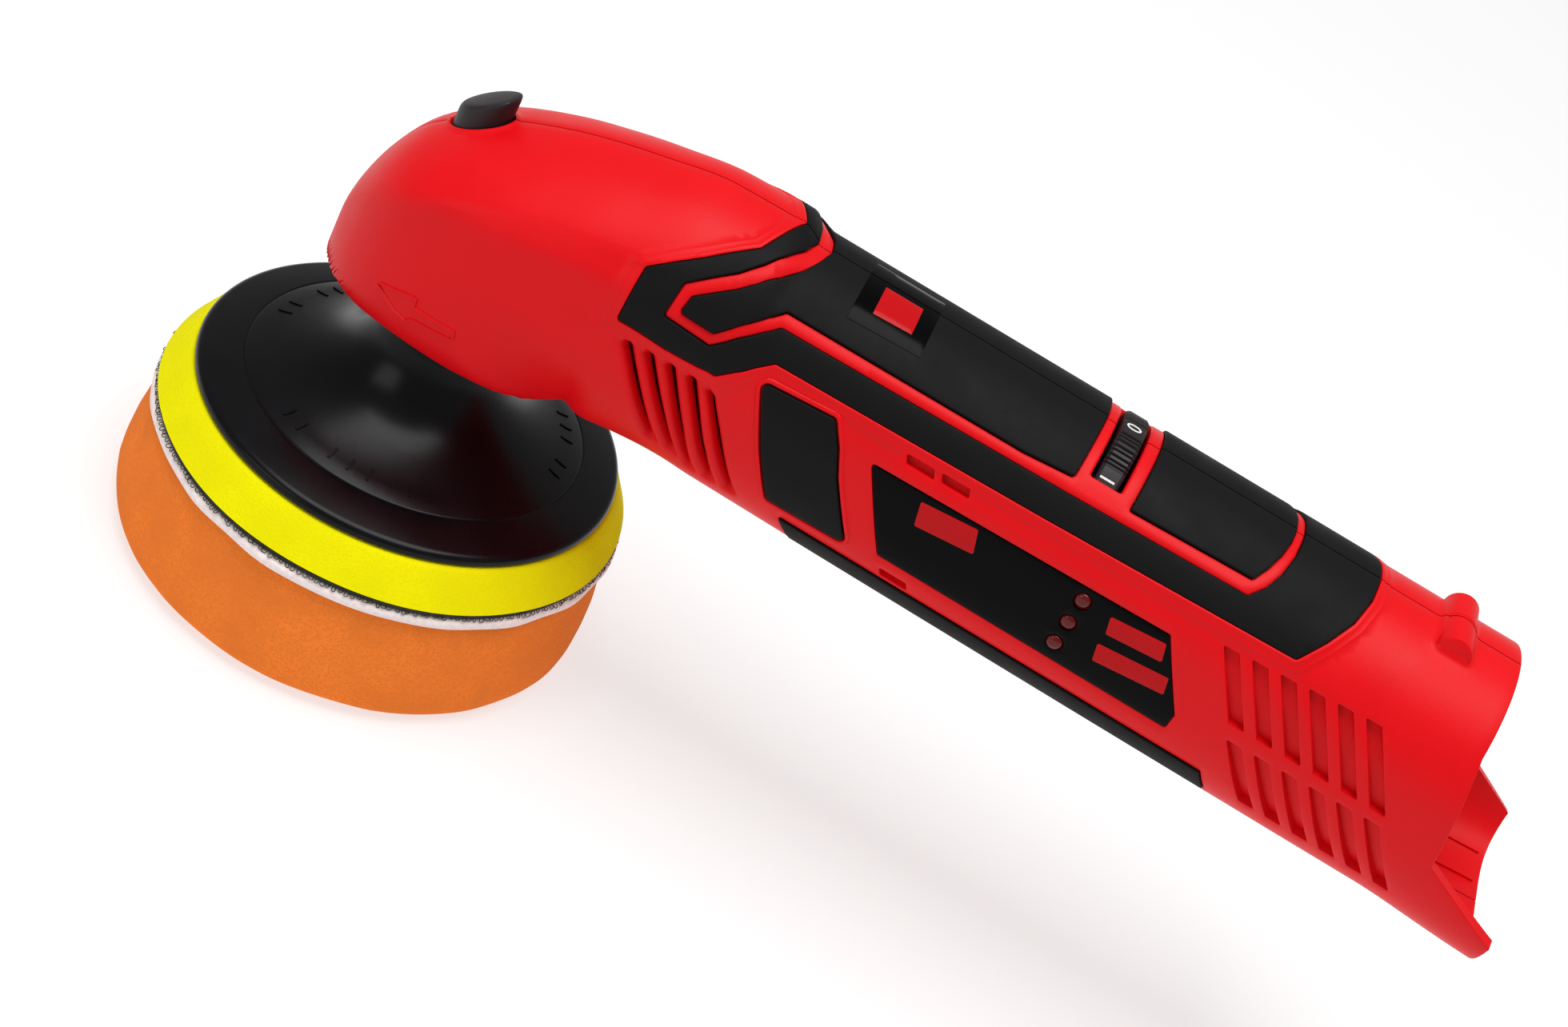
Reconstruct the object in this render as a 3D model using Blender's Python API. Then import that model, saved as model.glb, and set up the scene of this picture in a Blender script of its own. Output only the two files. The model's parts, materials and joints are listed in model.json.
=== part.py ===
"""Cordless dual action polisher: two-half casing, bevel gear head, eccentric drive and foam pad.

Frame: origin at the centre of the pad's working face, +X along the handle to its rear end, +Z up along
the spindle. Sizes below are in millimetres; the mesh builders turn them into metres.
"""

from math import cos, hypot, pi, sin, sqrt

import bmesh
import bpy
import numpy as np
from mathutils import Matrix, Vector
from mathutils.geometry import delaunay_2d_cdt

MM = 0.001

# Driving dimensions
GAP = 0.3  # between pieces that touch
ECCENTRICITY = 1.5  # spindle axis to pad axis, half of the orbit's diameter
PAD_RADIUS = 51.5
PAD_THICKNESS = 26.6
LOOP_RADIUS, LOOP_Z = 47.6, (26.9, 28.3)
HOOK_RADIUS, HOOK_Z = 49.4, (28.6, 29.7)
FOAM_RING_RADII, FOAM_RING_Z = (50.0, 45.2), (30.0, 38.0)
PLATE_RADIUS, PLATE_Z = 45.0, 38.3
HUB_TOP_Z = 61.7
SPINDLE_X = ECCENTRICITY
MOTOR_Z = 94.0  # motor shaft axis
GEAR_TEETH, PINION_TEETH = 24, 8
GEAR_RADIUS = 17.4  # pitch circle at the large end
FACE_WIDTH = 4.2
WALL = 2.4
NOSE_X = -28.7
REAR_X = 231.4
HANDLE_X = 57.5  # front end of the handle, whose section stays the same
RIM_X = 208.0
HANDLE_TOP_Z = 119.9
POCKET_DEPTH = 1.3
RUBBER_PROUD = 0.25
DIAL_X, DIAL_Z, DIAL_RADIUS = (121.9, 126.9), 103.0, 18.0
BUTTON_X, BUTTON_Z, BUTTON_SLOPE = -10.6, 110.8, 0.72
PIN_X = -8.3
LOCK_RADIUS = 9.8  # circle of the lock holes in the bevel gear
LOCK_HOLES = 12
ADDENDUM, DEDENDUM = 0.75, 1.0
GEARBOX_RADIUS = 20.8
COLLAR_RADII, COLLAR_BOTTOM_Z = (28.3, 24.3), 64.9
PEG_X = 194.6
FAN_BLADES = 8
TERMINAL_X = (157.5, 177.4)  # the battery terminal block, whose rear face meets the battery
BLADE_X = (165.3, 177.0)  # the contact blades in it
SCREWS_XZ = ((-23.1, 79.0), (27.0, 110.5), (30.0, 73.6), (68.0, 71.6), (143.0, 104.35), (176.0, 71.9))
SCREW_SHANK, SCREW_HEAD, HEAD_SEAT_Y = 1.45, 2.4, 8.0

# Casing sections: x, half width, shoulder z, top z, bottom z, power of the top arc, power of the bottom arc
STATIONS = (
    (NOSE_X, 0.0, 70.0, 73.0, 65.2, 2.0, 8.0),
    (-27.6, 6.2, 76.0, 82.0, 65.2, 2.0, 8.0),
    (-25.0, 11.4, 82.0, 90.2, 65.2, 1.9, 8.0),
    (-20.0, 17.2, 89.0, 98.8, 65.2, 1.8, 8.0),
    (-12.0, 21.8, 95.0, 105.2, 65.2, 1.7, 8.0),
    (-2.0, 24.1, 98.5, 110.6, 65.2, 1.65, 8.0),
    (10.0, 24.9, 101.0, 115.4, 65.2, 1.65, 7.0),
    (24.0, 24.9, 103.0, 119.2, 65.8, 1.7, 5.0),
    (38.0, 24.8, 102.0, 122.0, 67.4, 1.8, 3.2),
    (51.6, 24.6, 98.0, 122.3, 67.7, 1.95, 2.8),
    (HANDLE_X, 24.5, 96.0, HANDLE_TOP_Z, 67.6, 2.0, 2.8),
    (205.0, 24.5, 96.0, HANDLE_TOP_Z, 66.3, 2.0, 2.8),
    (REAR_X, 24.5, 96.0, HANDLE_TOP_Z, 66.6, 2.0, 2.8),
)

# Outlines on the casing's left side: x, and the distance down the surface from the top seam, where it is 0
BAND_OUTER = (
    (52.8, 0), (48.5, 12.1), (40.8, 19.4), (32.5, 25.8), (32.5, 37.4), (42.6, 38.0), (53.0, 36.9),
    (61.6, 27.3), (116.4, 26.3), (169.9, 24.8), (173.2, 19.4), (175.9, 13.6),
    (177.3, 7.0), (177.6, 0),
)
BAND_INNER = (
    (57.6, 0), (54.2, 10.4), (47.8, 19.3), (40.2, 25.4), (39.6, 32.4), (49.5, 33.0), (59.2, 21.3),
    (117.7, 20.3), (156.6, 19.4), (160.2, 12.5), (161.6, 0),
)
FRONT_PANEL = (
    (59.8, 0), (55.6, 11.3), (48.6, 21.7), (42.4, 26.6), (42.0, 30.2), (49.1, 30.4), (58.6, 18.1),
    (108.6, 17.8), (118.6, 16.9), (118.9, 0),
)
REAR_PANEL = ((130.6, 0), (130.5, 16.9), (156.0, 16.1), (158.6, 8.9), (159.7, 0))
SIDE_PAD = ((61.3, 31.5), (76.1, 30.5), (79.2, 35.1), (81.8, 40.7), (89.2, 53.2), (72.4, 53.8), (66.9, 43.6))
LABEL = ((86.0, 34.2), (148.4, 33.0), (157.7, 47.5), (157.7, 51.3), (95.6, 51.3))
LOWER_STRIP = ((76.0, 57.2), (168.2, 57.2), (171.4, 63.4), (79.6, 63.4))
SLOT_CENTRES = ((93.7, 30.0), (101.0, 29.7), (100.3, 55.2))
LED_PLACES = ((131.8, 36.2), (131.8, 41.7), (131.8, 47.2))
FRONT_VENTS = tuple((35.2 + 4.5 * k, 41.0 - 0.2 * k, 59.8 - 0.2 * k) for k in range(5))
REAR_VENT_COLUMNS = 6
REAR_VENT_PITCH = 5.75
VENT_SLANT = 0.68  # x run for each millimetre down the side


def new_material(name, rgb, roughness, metallic):
    """Principled material with the colour given as it looks (sRGB, 0 to 255)."""
    material = bpy.data.materials.new(name)
    material.use_nodes = True
    shader = material.node_tree.nodes["Principled BSDF"]
    linear = [((c / 255 + 0.055) / 1.055) ** 2.4 if c > 10 else c / 255 / 12.92 for c in rgb]
    shader.inputs["Base Color"].default_value = (*linear, 1)
    shader.inputs["Roughness"].default_value = roughness
    shader.inputs["Metallic"].default_value = metallic
    material.diffuse_color = (*linear, 1)
    return material


FINISHES = {
    "red": ((218, 22, 32), 0.42, 0.0),
    "rubber": ((34, 33, 34), 0.62, 0.0),
    "black": ((22, 21, 23), 0.35, 0.0),
    "label": ((10, 10, 11), 0.15, 0.0),
    "lens": ((120, 10, 14), 0.1, 0.0),
    "steel": ((150, 152, 155), 0.3, 1.0),
    "zinc": ((176, 178, 180), 0.45, 1.0),
    "copper": ((184, 110, 60), 0.4, 1.0),
    "brass": ((200, 170, 90), 0.3, 1.0),
    "magnet": ((60, 60, 62), 0.5, 0.4),
    "yellow": ((240, 228, 10), 0.6, 0.0),
    "orange": ((240, 112, 40), 0.95, 0.0),
    "hook": ((20, 18, 19), 0.9, 0.0),
    "loop": ((238, 228, 226), 0.95, 0.0),
    "board": ((30, 92, 52), 0.5, 0.0),
    "grey": ((70, 72, 76), 0.5, 0.0),
}


def clear_scene():
    for obj in list(bpy.data.objects):
        bpy.data.objects.remove(obj)


def add(name, shape, finish=None, at=(0, 0, 0), along="Z", parent=None):
    """Object from (points, faces) in mm. Its own axis Z is laid along world Z, X or Y at the given place."""
    points, faces = shape
    mesh = bpy.data.meshes.new(name)
    mesh.from_pydata([Vector(p) * MM for p in points], [], faces)
    model = bmesh.new()
    model.from_mesh(mesh)
    bmesh.ops.recalc_face_normals(model, faces=model.faces)
    model.to_mesh(mesh)
    model.free()
    obj = bpy.data.objects.new(name, mesh)
    bpy.context.scene.collection.objects.link(obj)
    turn = {"Z": Matrix(), "X": Matrix.Rotation(pi / 2, 4, "Y"), "Y": Matrix.Rotation(-pi / 2, 4, "X")}[along]
    place = Matrix.Translation(Vector(at) * MM) @ turn
    if parent:
        obj.parent = parent
        place = Matrix.Translation(-parent.location) @ place
    obj.matrix_local = place
    if finish:
        mesh.materials.append(new_material(name, *FINISHES[finish]))
        mesh.shade_smooth()
        mesh.set_sharp_from_angle(angle=pi / 5)
    else:
        obj.hide_render = True
        obj.display_type = "WIRE"
    return obj


def pivot(name, at):
    """Empty on a joint's axis that carries the pieces of one moving body."""
    empty = bpy.data.objects.new(name, None)
    empty.location = Vector(at) * MM
    bpy.context.scene.collection.objects.link(empty)
    return empty


def change(obj, tool, operation="DIFFERENCE", solver="EXACT"):
    modifier = obj.modifiers.new(operation.lower(), "BOOLEAN")
    modifier.operation = operation
    modifier.solver = solver
    modifier.object = tool


def merged(shapes):
    """One (points, faces) from several that don't touch."""
    points, faces = [], []
    for some_points, some_faces in shapes:
        start = len(points)
        points += list(some_points)
        faces += [[start + i for i in face] for face in some_faces]
    return points, faces


def moved(shape, at=(0, 0, 0), along="Z"):
    """The shape with its axis Z laid along another axis, then shifted."""
    order = {"Z": (0, 1, 2), "X": (2, 1, 0), "Y": (0, 2, 1)}[along]
    signs = (1, 1, 1 if along == "Z" else -1)
    points = [tuple(p[axis] * sign + shift for axis, sign, shift in zip(order, signs, at)) for p in shape[0]]
    return points, shape[1]


def box(low, high):
    (x0, y0, z0), (x1, y1, z1) = low, high
    points = [(x, y, z) for x in (x0, x1) for y in (y0, y1) for z in (z0, z1)]
    return points, [(0, 1, 3, 2), (4, 6, 7, 5), (0, 4, 5, 1), (2, 3, 7, 6), (0, 2, 6, 4), (1, 5, 7, 3)]


def prism(outline, low, high):
    """Outline in x, y drawn up from low to high, which are heights or functions of (x, y)."""
    level = [h if callable(h) else (lambda x, y, h=h: h) for h in (low, high)]
    n = len(outline)
    points = [(x, y, level[k](x, y)) for k in (0, 1) for x, y in outline]
    sides = [(i, (i + 1) % n, n + (i + 1) % n, n + i) for i in range(n)]
    return points, [tuple(range(n))[::-1], tuple(range(n, 2 * n)), *sides]


def ellipse(a, b, count, centre=(0, 0)):
    steps = [2 * pi * i / count for i in range(count)]
    return [(centre[0] + a * cos(s), centre[1] + b * sin(s)) for s in steps]


def turned(profile, count=32, waves=None, angles=None):
    """Profile of (radius, height) turned about Z. It is a closed loop unless both ends are on the axis.

    waves gives, for a profile point's index, a function of the step that returns its (radius, height).
    angles gives the angle of each step where they aren't even."""
    angles = angles or [2 * pi * step / count for step in range(count)]
    points, rings = [], []
    for index, (radius, height) in enumerate(profile):
        if radius == 0:
            rings.append([len(points)] * count)
            points.append((0, 0, height))
            continue
        rings.append(list(range(len(points), len(points) + count)))
        for step, angle in enumerate(angles):
            r, z = waves[index](step) if waves and index in waves else (radius, height)
            points.append((r * cos(angle), r * sin(angle), z))
    closed = profile[0][0] > 0
    faces = []
    for k in range(len(rings) if closed else len(rings) - 1):
        one, two = rings[k], rings[(k + 1) % len(rings)]
        for i in range(count):
            j = (i + 1) % count
            loop = [one[i], one[j], two[j], two[i]]
            face = [v for n, v in enumerate(loop) if v != loop[n - 1]]
            if len(face) > 2:
                faces.append(face)
    return points, faces


def tube(radii, heights, count=32):
    (inner, outer), (low, high) = radii, heights
    return turned([(outer, high), (outer, low), (inner, low), (inner, high)], count)


def rod(radius, low, high, count=24):
    return turned([(0, high), (radius, high), (radius, low), (0, low)], count)


def smooth_curve(xs, ys):
    """Curve through the points that never overshoots them (monotone cubic)."""
    xs, ys = np.array(xs, float), np.array(ys, float)
    step = np.diff(xs)
    rise = np.diff(ys) / step
    slope = np.concatenate([rise[:1], np.zeros(len(xs) - 2), rise[-1:]])
    for i in range(1, len(xs) - 1):
        if rise[i - 1] * rise[i] > 0:
            before, after = 2 * step[i] + step[i - 1], step[i] + 2 * step[i - 1]
            slope[i] = (before + after) / (before / rise[i - 1] + after / rise[i])

    def at(x):
        x = np.clip(x, xs[0], xs[-1])
        i = np.clip(np.searchsorted(xs, x) - 1, 0, len(step) - 1)
        s = (x - xs[i]) / step[i]
        start = (1 + 2 * s) * (1 - s) ** 2 * ys[i] + s * (1 - s) ** 2 * step[i] * slope[i]
        return start + s * s * (3 - 2 * s) * ys[i + 1] + s * s * (s - 1) * step[i] * slope[i + 1]

    return at


# The sections blend along the root of the distance from the nose, so that the nose closes round.
STATION_ROOTS = [sqrt(station[0] - NOSE_X) for station in STATIONS]
SECTION_CURVES = [smooth_curve(STATION_ROOTS, [s[k] for s in STATIONS]) for k in range(1, 7)]


def section(x, turns, inset=0.0):
    """(y, z) of the casing's left half at x, for angles from the top seam (0) to the bottom seam (pi)."""
    root = sqrt(max(x - NOSE_X, 0))
    half, middle, top, bottom, top_power, bottom_power = [float(curve(root)) for curve in SECTION_CURVES]
    across, up = np.sin(turns), np.cos(turns)
    power = np.where(up > 0, top_power, bottom_power)
    rise = np.where(up > 0, top - middle, middle - bottom)
    width = max(half - inset, 0.02)
    y = -width * np.abs(across) ** (2 / power)
    z = middle + (rise - inset) * np.sign(up) * np.abs(up) ** (2 / power)
    return y, z


def even_section(x, count, inset=0.0):
    """The section as count + 1 points at even distances along it."""
    y, z = section(x, np.linspace(0, pi, 241), inset)
    run = np.concatenate([[0], np.cumsum(np.hypot(np.diff(y), np.diff(z)))])
    marks = np.linspace(0, run[-1], count + 1)
    return np.interp(marks, run, y), np.interp(marks, run, z)


def on_casing(x, down):
    """Point of the casing's left side at x, a distance down the surface from the top seam. Below 0 it is on
    the right side."""
    y, z = section(x, np.linspace(0, pi, 721))
    run = np.concatenate([[0], np.cumsum(np.hypot(np.diff(y), np.diff(z)))])
    side = -1 if down < 0 else 1
    return np.array([x, side * np.interp(abs(down), run, y), np.interp(abs(down), run, z)])


def casing_frame(x, down):
    """Point on the casing's left side and the outward direction there."""
    step = 0.3
    along = on_casing(x + step, down) - on_casing(x - step, down)
    around = on_casing(x, down + step) - on_casing(x, down - step)
    outward = np.cross(along, around)
    return on_casing(x, down), outward / np.linalg.norm(outward)


def lofted(rings):
    """Closed solid through rings of equally many points, with both ends capped."""
    width = len(rings[0])
    points = [p for ring in rings for p in ring]
    faces = []
    for k in range(len(rings) - 1):
        for i in range(width):
            a, b = k * width + i, k * width + (i + 1) % width
            faces.append((a, b, b + width, a + width))
    last = (len(rings) - 1) * width
    return points, [*faces, tuple(range(width)), tuple(range(last, last + width))]


def half_loft(xs, count):
    """The casing's left half as a solid, flat along the seam."""
    rings = []
    for x in xs:
        y, z = even_section(x, count)
        rings.append([(x, min(a, -GAP / 2), b) for a, b in zip(y, z)])
    return lofted(rings)


def half_hollow(xs, count):
    """The hollow of one half: the sections drawn in by the wall, open through the seam and the rear."""
    rings = []
    for x in xs:
        y, z = even_section(min(x, REAR_X), count, WALL)
        rings.append([(x, 1.0, z[0]), *((x, a - 0.01, b) for a, b in zip(y, z)), (x, 1.0, z[-1])])
    return lofted(rings)


def dense(outline, longest):
    """The closed outline with its sides cut into pieces no longer than that wherever the casing curves
    under them: round it everywhere, and along it only in front of the handle, which is straight."""
    found = []
    for (x0, t0), (x1, t1) in zip(outline, [*outline[1:], outline[0]]):
        head_run = abs(min(x1, HANDLE_X) - min(x0, HANDLE_X))
        cuts = max(1, int(np.ceil(max(head_run, abs(t1 - t0)) / longest)))
        found += [(x0 + (x1 - x0) * k / cuts, t0 + (t1 - t0) * k / cuts) for k in range(cuts)]
    return found


def inside(point, outline, margin):
    """Whether the point is in the outline and at least margin from its sides."""
    within = False
    x, t = point
    for (x0, t0), (x1, t1) in zip(outline, [*outline[1:], outline[0]]):
        if (t0 > t) != (t1 > t) and x < x0 + (x1 - x0) * (t - t0) / (t1 - t0):
            within = not within
        run = hypot(x1 - x0, t1 - t0)
        along = min(max(((x - x0) * (x1 - x0) + (t - t0) * (t1 - t0)) / run**2, 0), 1)
        if hypot(x - x0 - along * (x1 - x0), t - t0 - along * (t1 - t0)) < margin:
            return False
    return within


def grown(outline, by):
    """The outline with every side moved outwards."""
    area = sum(a[0] * b[1] - b[0] * a[1] for a, b in zip(outline, [*outline[1:], outline[0]]))
    by = by if area > 0 else -by
    found = []
    for before, here, after in zip([outline[-1], *outline[:-1]], outline, [*outline[1:], outline[0]]):
        one = Vector((here[0] - before[0], here[1] - before[1])).normalized()
        two = Vector((after[0] - here[0], after[1] - here[1])).normalized()
        out_one, out_two = Vector((one.y, -one.x)), Vector((two.y, -two.x))
        middle = (out_one + out_two).normalized()
        reach = by / max(middle.dot(out_one), 0.4)
        found.append((here[0] + middle.x * reach, here[1] + middle.y * reach))
    return found


def patch(outline, low, high, spacing=8.0):
    """Solid that follows the casing's left surface under the outline, between two offsets from it."""
    edge = dense(outline, spacing)
    xs, downs = zip(*outline)
    inner = [
        (x, t)
        for x in np.arange(min(xs) + spacing / 2, max(xs), spacing * 1.5)
        for t in np.arange(min(downs) + spacing / 2, max(downs), spacing * 0.8)
        if inside((x, t), outline, spacing * 0.35)
    ]
    flat = [Vector(p) for p in edge + inner]
    sides = [(i, (i + 1) % len(edge)) for i in range(len(edge))]
    points, _, triangles, *_ = delaunay_2d_cdt(flat, sides, [], 1, 1e-5)
    count = len(points)
    places = [casing_frame(p.x, p.y) for p in points]
    solid = [tuple(place + outward * offset) for offset in (low, high) for place, outward in places]
    faces = [tuple(t) for t in triangles] + [tuple(count + i for i in t) for t in triangles]
    for a, b in open_edges(triangles):
        faces.append((a, b, count + b, count + a))
    return solid, faces


def open_edges(triangles):
    seen = {}
    for triangle in triangles:
        for a, b in zip(triangle, [*triangle[1:], triangle[0]]):
            key = (min(a, b), max(a, b))
            seen[key] = seen.get(key, 0) + 1
    return [pair for pair, times in seen.items() if times == 1]


def to_seam(outline, down):
    """The outline with its points on the seam drawn to that distance."""
    return [(x, t or down) for x, t in outline]


BAND = (*BAND_OUTER, *BAND_INNER[::-1])


def slanted_slot(x, top, bottom, width, slant=VENT_SLANT):
    run = (bottom - top) * slant
    return ((x, top), (x + width, top), (x + width + run, bottom), (x + run, bottom))


def rear_vents():
    """Outlines of the two rows of grooves beside the battery bay."""
    found = []
    for column in range(REAR_VENT_COLUMNS):
        x = 157.5 + column * REAR_VENT_PITCH
        rise = 0.4 * column
        found.append(slanted_slot(x, 29.3 - rise, 42.6, 3.3))
        found.append(slanted_slot(x + 10.6, 46.0 - rise / 2, 59.2, 3.3, 0.72))
    return found


def slot_outline(centre):
    x, t = centre
    return ((x - 3.2, t - 0.9), (x + 2.6, t - 0.9), (x + 3.4, t + 0.9), (x - 2.4, t + 0.9))


def loft_stations(start, count, rest):
    """Places along X, close together at the nose."""
    return [start + (35 - start) * (k / count) ** 2 for k in range(count + 1)] + list(rest)


def mirrored(shape, side):
    """The shape of the left half, or its mirror image for the right half."""
    return [(x, -y * side, z) for x, y, z in shape[0]], shape[1]


def rectangle(x0, x1, y0, y1):
    return [(x0, y0), (x1, y0), (x1, y1), (x0, y1)]


def side_prism(outline, low, high):
    """Outline in x, z drawn across in y."""
    points, faces = prism(outline, low, high)
    return [(x, z, y) for x, y, z in points], faces


def collar():
    """Half ring below the head that shrouds the eccentric drive."""
    arc = [p for p in ellipse(COLLAR_RADII[0], COLLAR_RADII[1], 48) if p[1] < -1]
    ends = [(COLLAR_RADII[0], -GAP / 2), (-COLLAR_RADII[0], -GAP / 2)]
    return prism([*arc, *ends], COLLAR_BOTTOM_Z, COLLAR_BOTTOM_Z + 7)


def peg():
    """Half of the rounded bar across the top near the rear."""
    profile = [(0, -8.6), (3.1, -8.6), (3.5, -8.1), (3.5, -GAP / 2), (0, -GAP / 2)]
    return moved(turned(profile, 14), (PEG_X, 0, HANDLE_TOP_Z - 0.9), "Y")


def post(x, z):
    """Space that a screw post takes from the hollow."""
    return moved(rod(3.6, -30, 3, 12), (x, 0, z), "Y")


def post_bore(x, z, side):
    """Thread bore in the left half, clearance bore and head recess in the right half."""
    bore, recess = SCREW_SHANK + GAP, SCREW_HEAD + GAP
    if side < 0:
        return moved(rod(bore, -10.5, 1, 10), (x, 0, z), "Y")
    seat = -HEAD_SEAT_Y
    profile = [(0, 1), (bore, 1), (bore, seat), (recess, seat), (recess, -30), (0, -30)]
    return moved(turned(profile, 12), (x, 0, z), "Y")


def rear_cut():
    """Space behind the handle's rim and above its lower lip."""
    behind = REAR_X + 20
    outline = [(RIM_X, 130), (RIM_X, 110), (212.7, 87), (REAR_X, 79.1), (behind, 79.1), (behind, 130)]
    return side_prism(outline, -40, 2)


def pockets():
    """Recesses that hold the rubber pieces and the label."""
    outlines = (BAND, FRONT_PANEL, REAR_PANEL, SIDE_PAD, LABEL, LOWER_STRIP)
    return [patch(grown(to_seam(outline, -1.0), GAP), -POCKET_DEPTH, 2.0) for outline in outlines]


def blind_slots():
    """Grooves beside the battery bay and three short slots around the label."""
    outlines = rear_vents() + [slot_outline(centre) for centre in SLOT_CENTRES]
    return [patch(outline, -1.2, 1.5, 9.0) for outline in outlines]


def air_slots():
    return [patch(slanted_slot(x, top, bottom, 1.8, 0.63), -5.0, 2.0, 9.0) for x, top, bottom in FRONT_VENTS]


def led_rod(place, radius, low, high):
    """Rod along Y through one charge light's place."""
    x, _, z = on_casing(*place)
    return moved(rod(radius, low, high, 12), (x, 0, z), "Y")


def casing_half(name, side):
    """One half of the casing: lofted shell, collar, screw posts, pockets, vents and openings."""
    outer_x = loft_stations(NOSE_X + 0.05, 9, (41, 46.5, 51.6, 54.4, HANDLE_X, 205, 218, REAR_X))
    inner_x = loft_stations(NOSE_X + WALL, 6, (48, 58, 205, REAR_X + 10))
    half = add(name, mirrored(half_loft(outer_x, 13), side), "red")
    for label, shape in (("collar", collar()), ("peg", peg())):
        change(half, add(f"{name}_{label}", mirrored(shape, side)), "UNION", "MANIFOLD")
    hollow = add(f"{name}_hollow", mirrored(half_hollow(inner_x, 9), side))
    posts = merged([post(x, z) for x, z in SCREWS_XZ])
    change(hollow, add(f"{name}_posts", mirrored(posts, side)), "DIFFERENCE", "MANIFOLD")
    change(half, hollow, "DIFFERENCE", "MANIFOLD")
    relief = moved(rod(DIAL_RADIUS + 0.4, DIAL_X[0] - 0.8, DIAL_X[1] + 0.8, 40), (0, 0, DIAL_Z), "X")
    tools = (
        ("collar_bore", prism(ellipse(26.0, 21.9, 28), 60, 78)),
        ("post_bores", merged([post_bore(x, z, side) for x, z in SCREWS_XZ])),
        ("rear_cut", rear_cut()),
        ("pockets", merged(pockets())),
        ("blind_slots", merged(blind_slots())),
        ("air_slots", merged(air_slots())),
        ("dial_slot", prism(rectangle(DIAL_X[0] - 0.8, DIAL_X[1] + 0.8, -14, 1), 108, 125)),
        ("dial_relief", relief),
        ("button_hole", prism(ellipse(5.5, 5.0, 24, (BUTTON_X, 0)), 97, 118)),
    )
    for label, shape in tools:
        change(half, add(f"{name}_{label}", mirrored(shape, side)), "DIFFERENCE", "MANIFOLD")
    if side < 0:
        lights = merged([led_rod(place, 1.9, -27, -17) for place in LED_PLACES])
        change(half, add(f"{name}_light_holes", lights), "DIFFERENCE", "MANIFOLD")
    return half


def skin_piece(name, outline, side, finish, high=RUBBER_PROUD):
    """Rubber piece or label that fills its pocket in the casing."""
    shape = patch(to_seam(outline, 0.2), -POCKET_DEPTH + GAP, high)
    return add(name, mirrored(shape, side), finish)


def casing():
    rubber = {
        "grip_band": BAND,
        "front_grip_panel": FRONT_PANEL,
        "rear_grip_panel": REAR_PANEL,
        "side_pad": SIDE_PAD,
        "lower_strip": LOWER_STRIP,
    }
    for word, side in (("left", -1), ("right", 1)):
        casing_half(f"{word}_casing", side)
        for piece, outline in rubber.items():
            skin_piece(f"{word}_{piece}", outline, side, "rubber")
        label = skin_piece(f"{word}_label", LABEL, side, "label", 0.05)
        if side < 0:
            lights = merged([led_rod(place, 1.9, -27, -17) for place in LED_PLACES])
            change(label, add("left_label_light_holes", lights))
    for number, place in enumerate(LED_PLACES, 1):
        add(f"charge_light_{number}", led_rod(place, 1.6, -24.8, -20.9), "lens")


def screws():
    tip, seat = -9.8, HEAD_SEAT_Y + GAP
    profile = [(0, seat + 2.2), (SCREW_HEAD, seat + 2.2), (SCREW_HEAD, seat), (SCREW_SHANK, seat)]
    profile += [(SCREW_SHANK, tip + 1.2), (0.4, tip), (0, tip)]
    for number, (x, z) in enumerate(SCREWS_XZ, 1):
        add(f"case_screw_{number}", turned(profile, 8), "steel", (x, 0, z), "Y")


def tooth_angles(teeth, phase):
    """Four steps a tooth: both ends of the tip, then both ends of the root."""
    places = (-0.11, 0.11, 0.31, 0.69)
    return [2 * pi * (tooth + place + phase) / teeth for tooth in range(teeth) for place in places]


def tooth_wave(at_tip, at_root):
    return lambda step: at_tip if step % 4 < 2 else at_root


def bevel_gear(parent):
    """Crown gear whose pitch cone meets the pinion's on the two shafts' crossing."""
    inner, outer = GEAR_RADIUS - FACE_WIDTH, GEAR_RADIUS + 0.5
    ratio = GEAR_TEETH / PINION_TEETH
    waves = {}
    for index, radius in ((0, inner), (1, outer)):
        pitch, scale = MOTOR_Z - radius / ratio, radius / GEAR_RADIUS
        waves[index] = tooth_wave((radius, pitch + ADDENDUM * scale), (radius, pitch - DEDENDUM * scale))
    low, web = 83.4, 86.8
    profile = [(inner, 0), (outer, 0), (outer - 1, low), (4.8, low), (4.8, web), (inner - 0.6, web)]
    shape = turned(profile, GEAR_TEETH * 4, waves, tooth_angles(GEAR_TEETH, 0))
    gear = add("bevel_gear", shape, "steel", (SPINDLE_X, 0, 0), parent=parent)
    holes = []
    for angle in np.linspace(0, 2 * pi, LOCK_HOLES, False):
        spot = (SPINDLE_X + LOCK_RADIUS * cos(angle), LOCK_RADIUS * sin(angle), 0)
        holes.append(moved(rod(1.65, 80, 92, 6), spot))
    change(gear, add("bevel_gear_lock_holes", merged(holes)))


def pinion(parent):
    ratio = GEAR_TEETH / PINION_TEETH
    waves = {}
    ends = GEAR_RADIUS - FACE_WIDTH, GEAR_RADIUS + 0.5
    for index, reach in enumerate(ends):
        pitch, scale = reach / ratio, reach / GEAR_RADIUS
        waves[index] = tooth_wave((pitch + ADDENDUM * scale, reach), (pitch - DEDENDUM * scale, reach))
    profile = [(1, 0), (1, 0), (4.1, ends[1] + 0.6), (4.1, ends[1] + 5), (2.8, ends[1] + 5), (2.8, ends[0])]
    shape = turned(profile, PINION_TEETH * 4, waves, tooth_angles(PINION_TEETH, 0.5))
    add("pinion_gear", shape, "steel", (SPINDLE_X, 0, MOTOR_Z), "X", parent)


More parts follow.
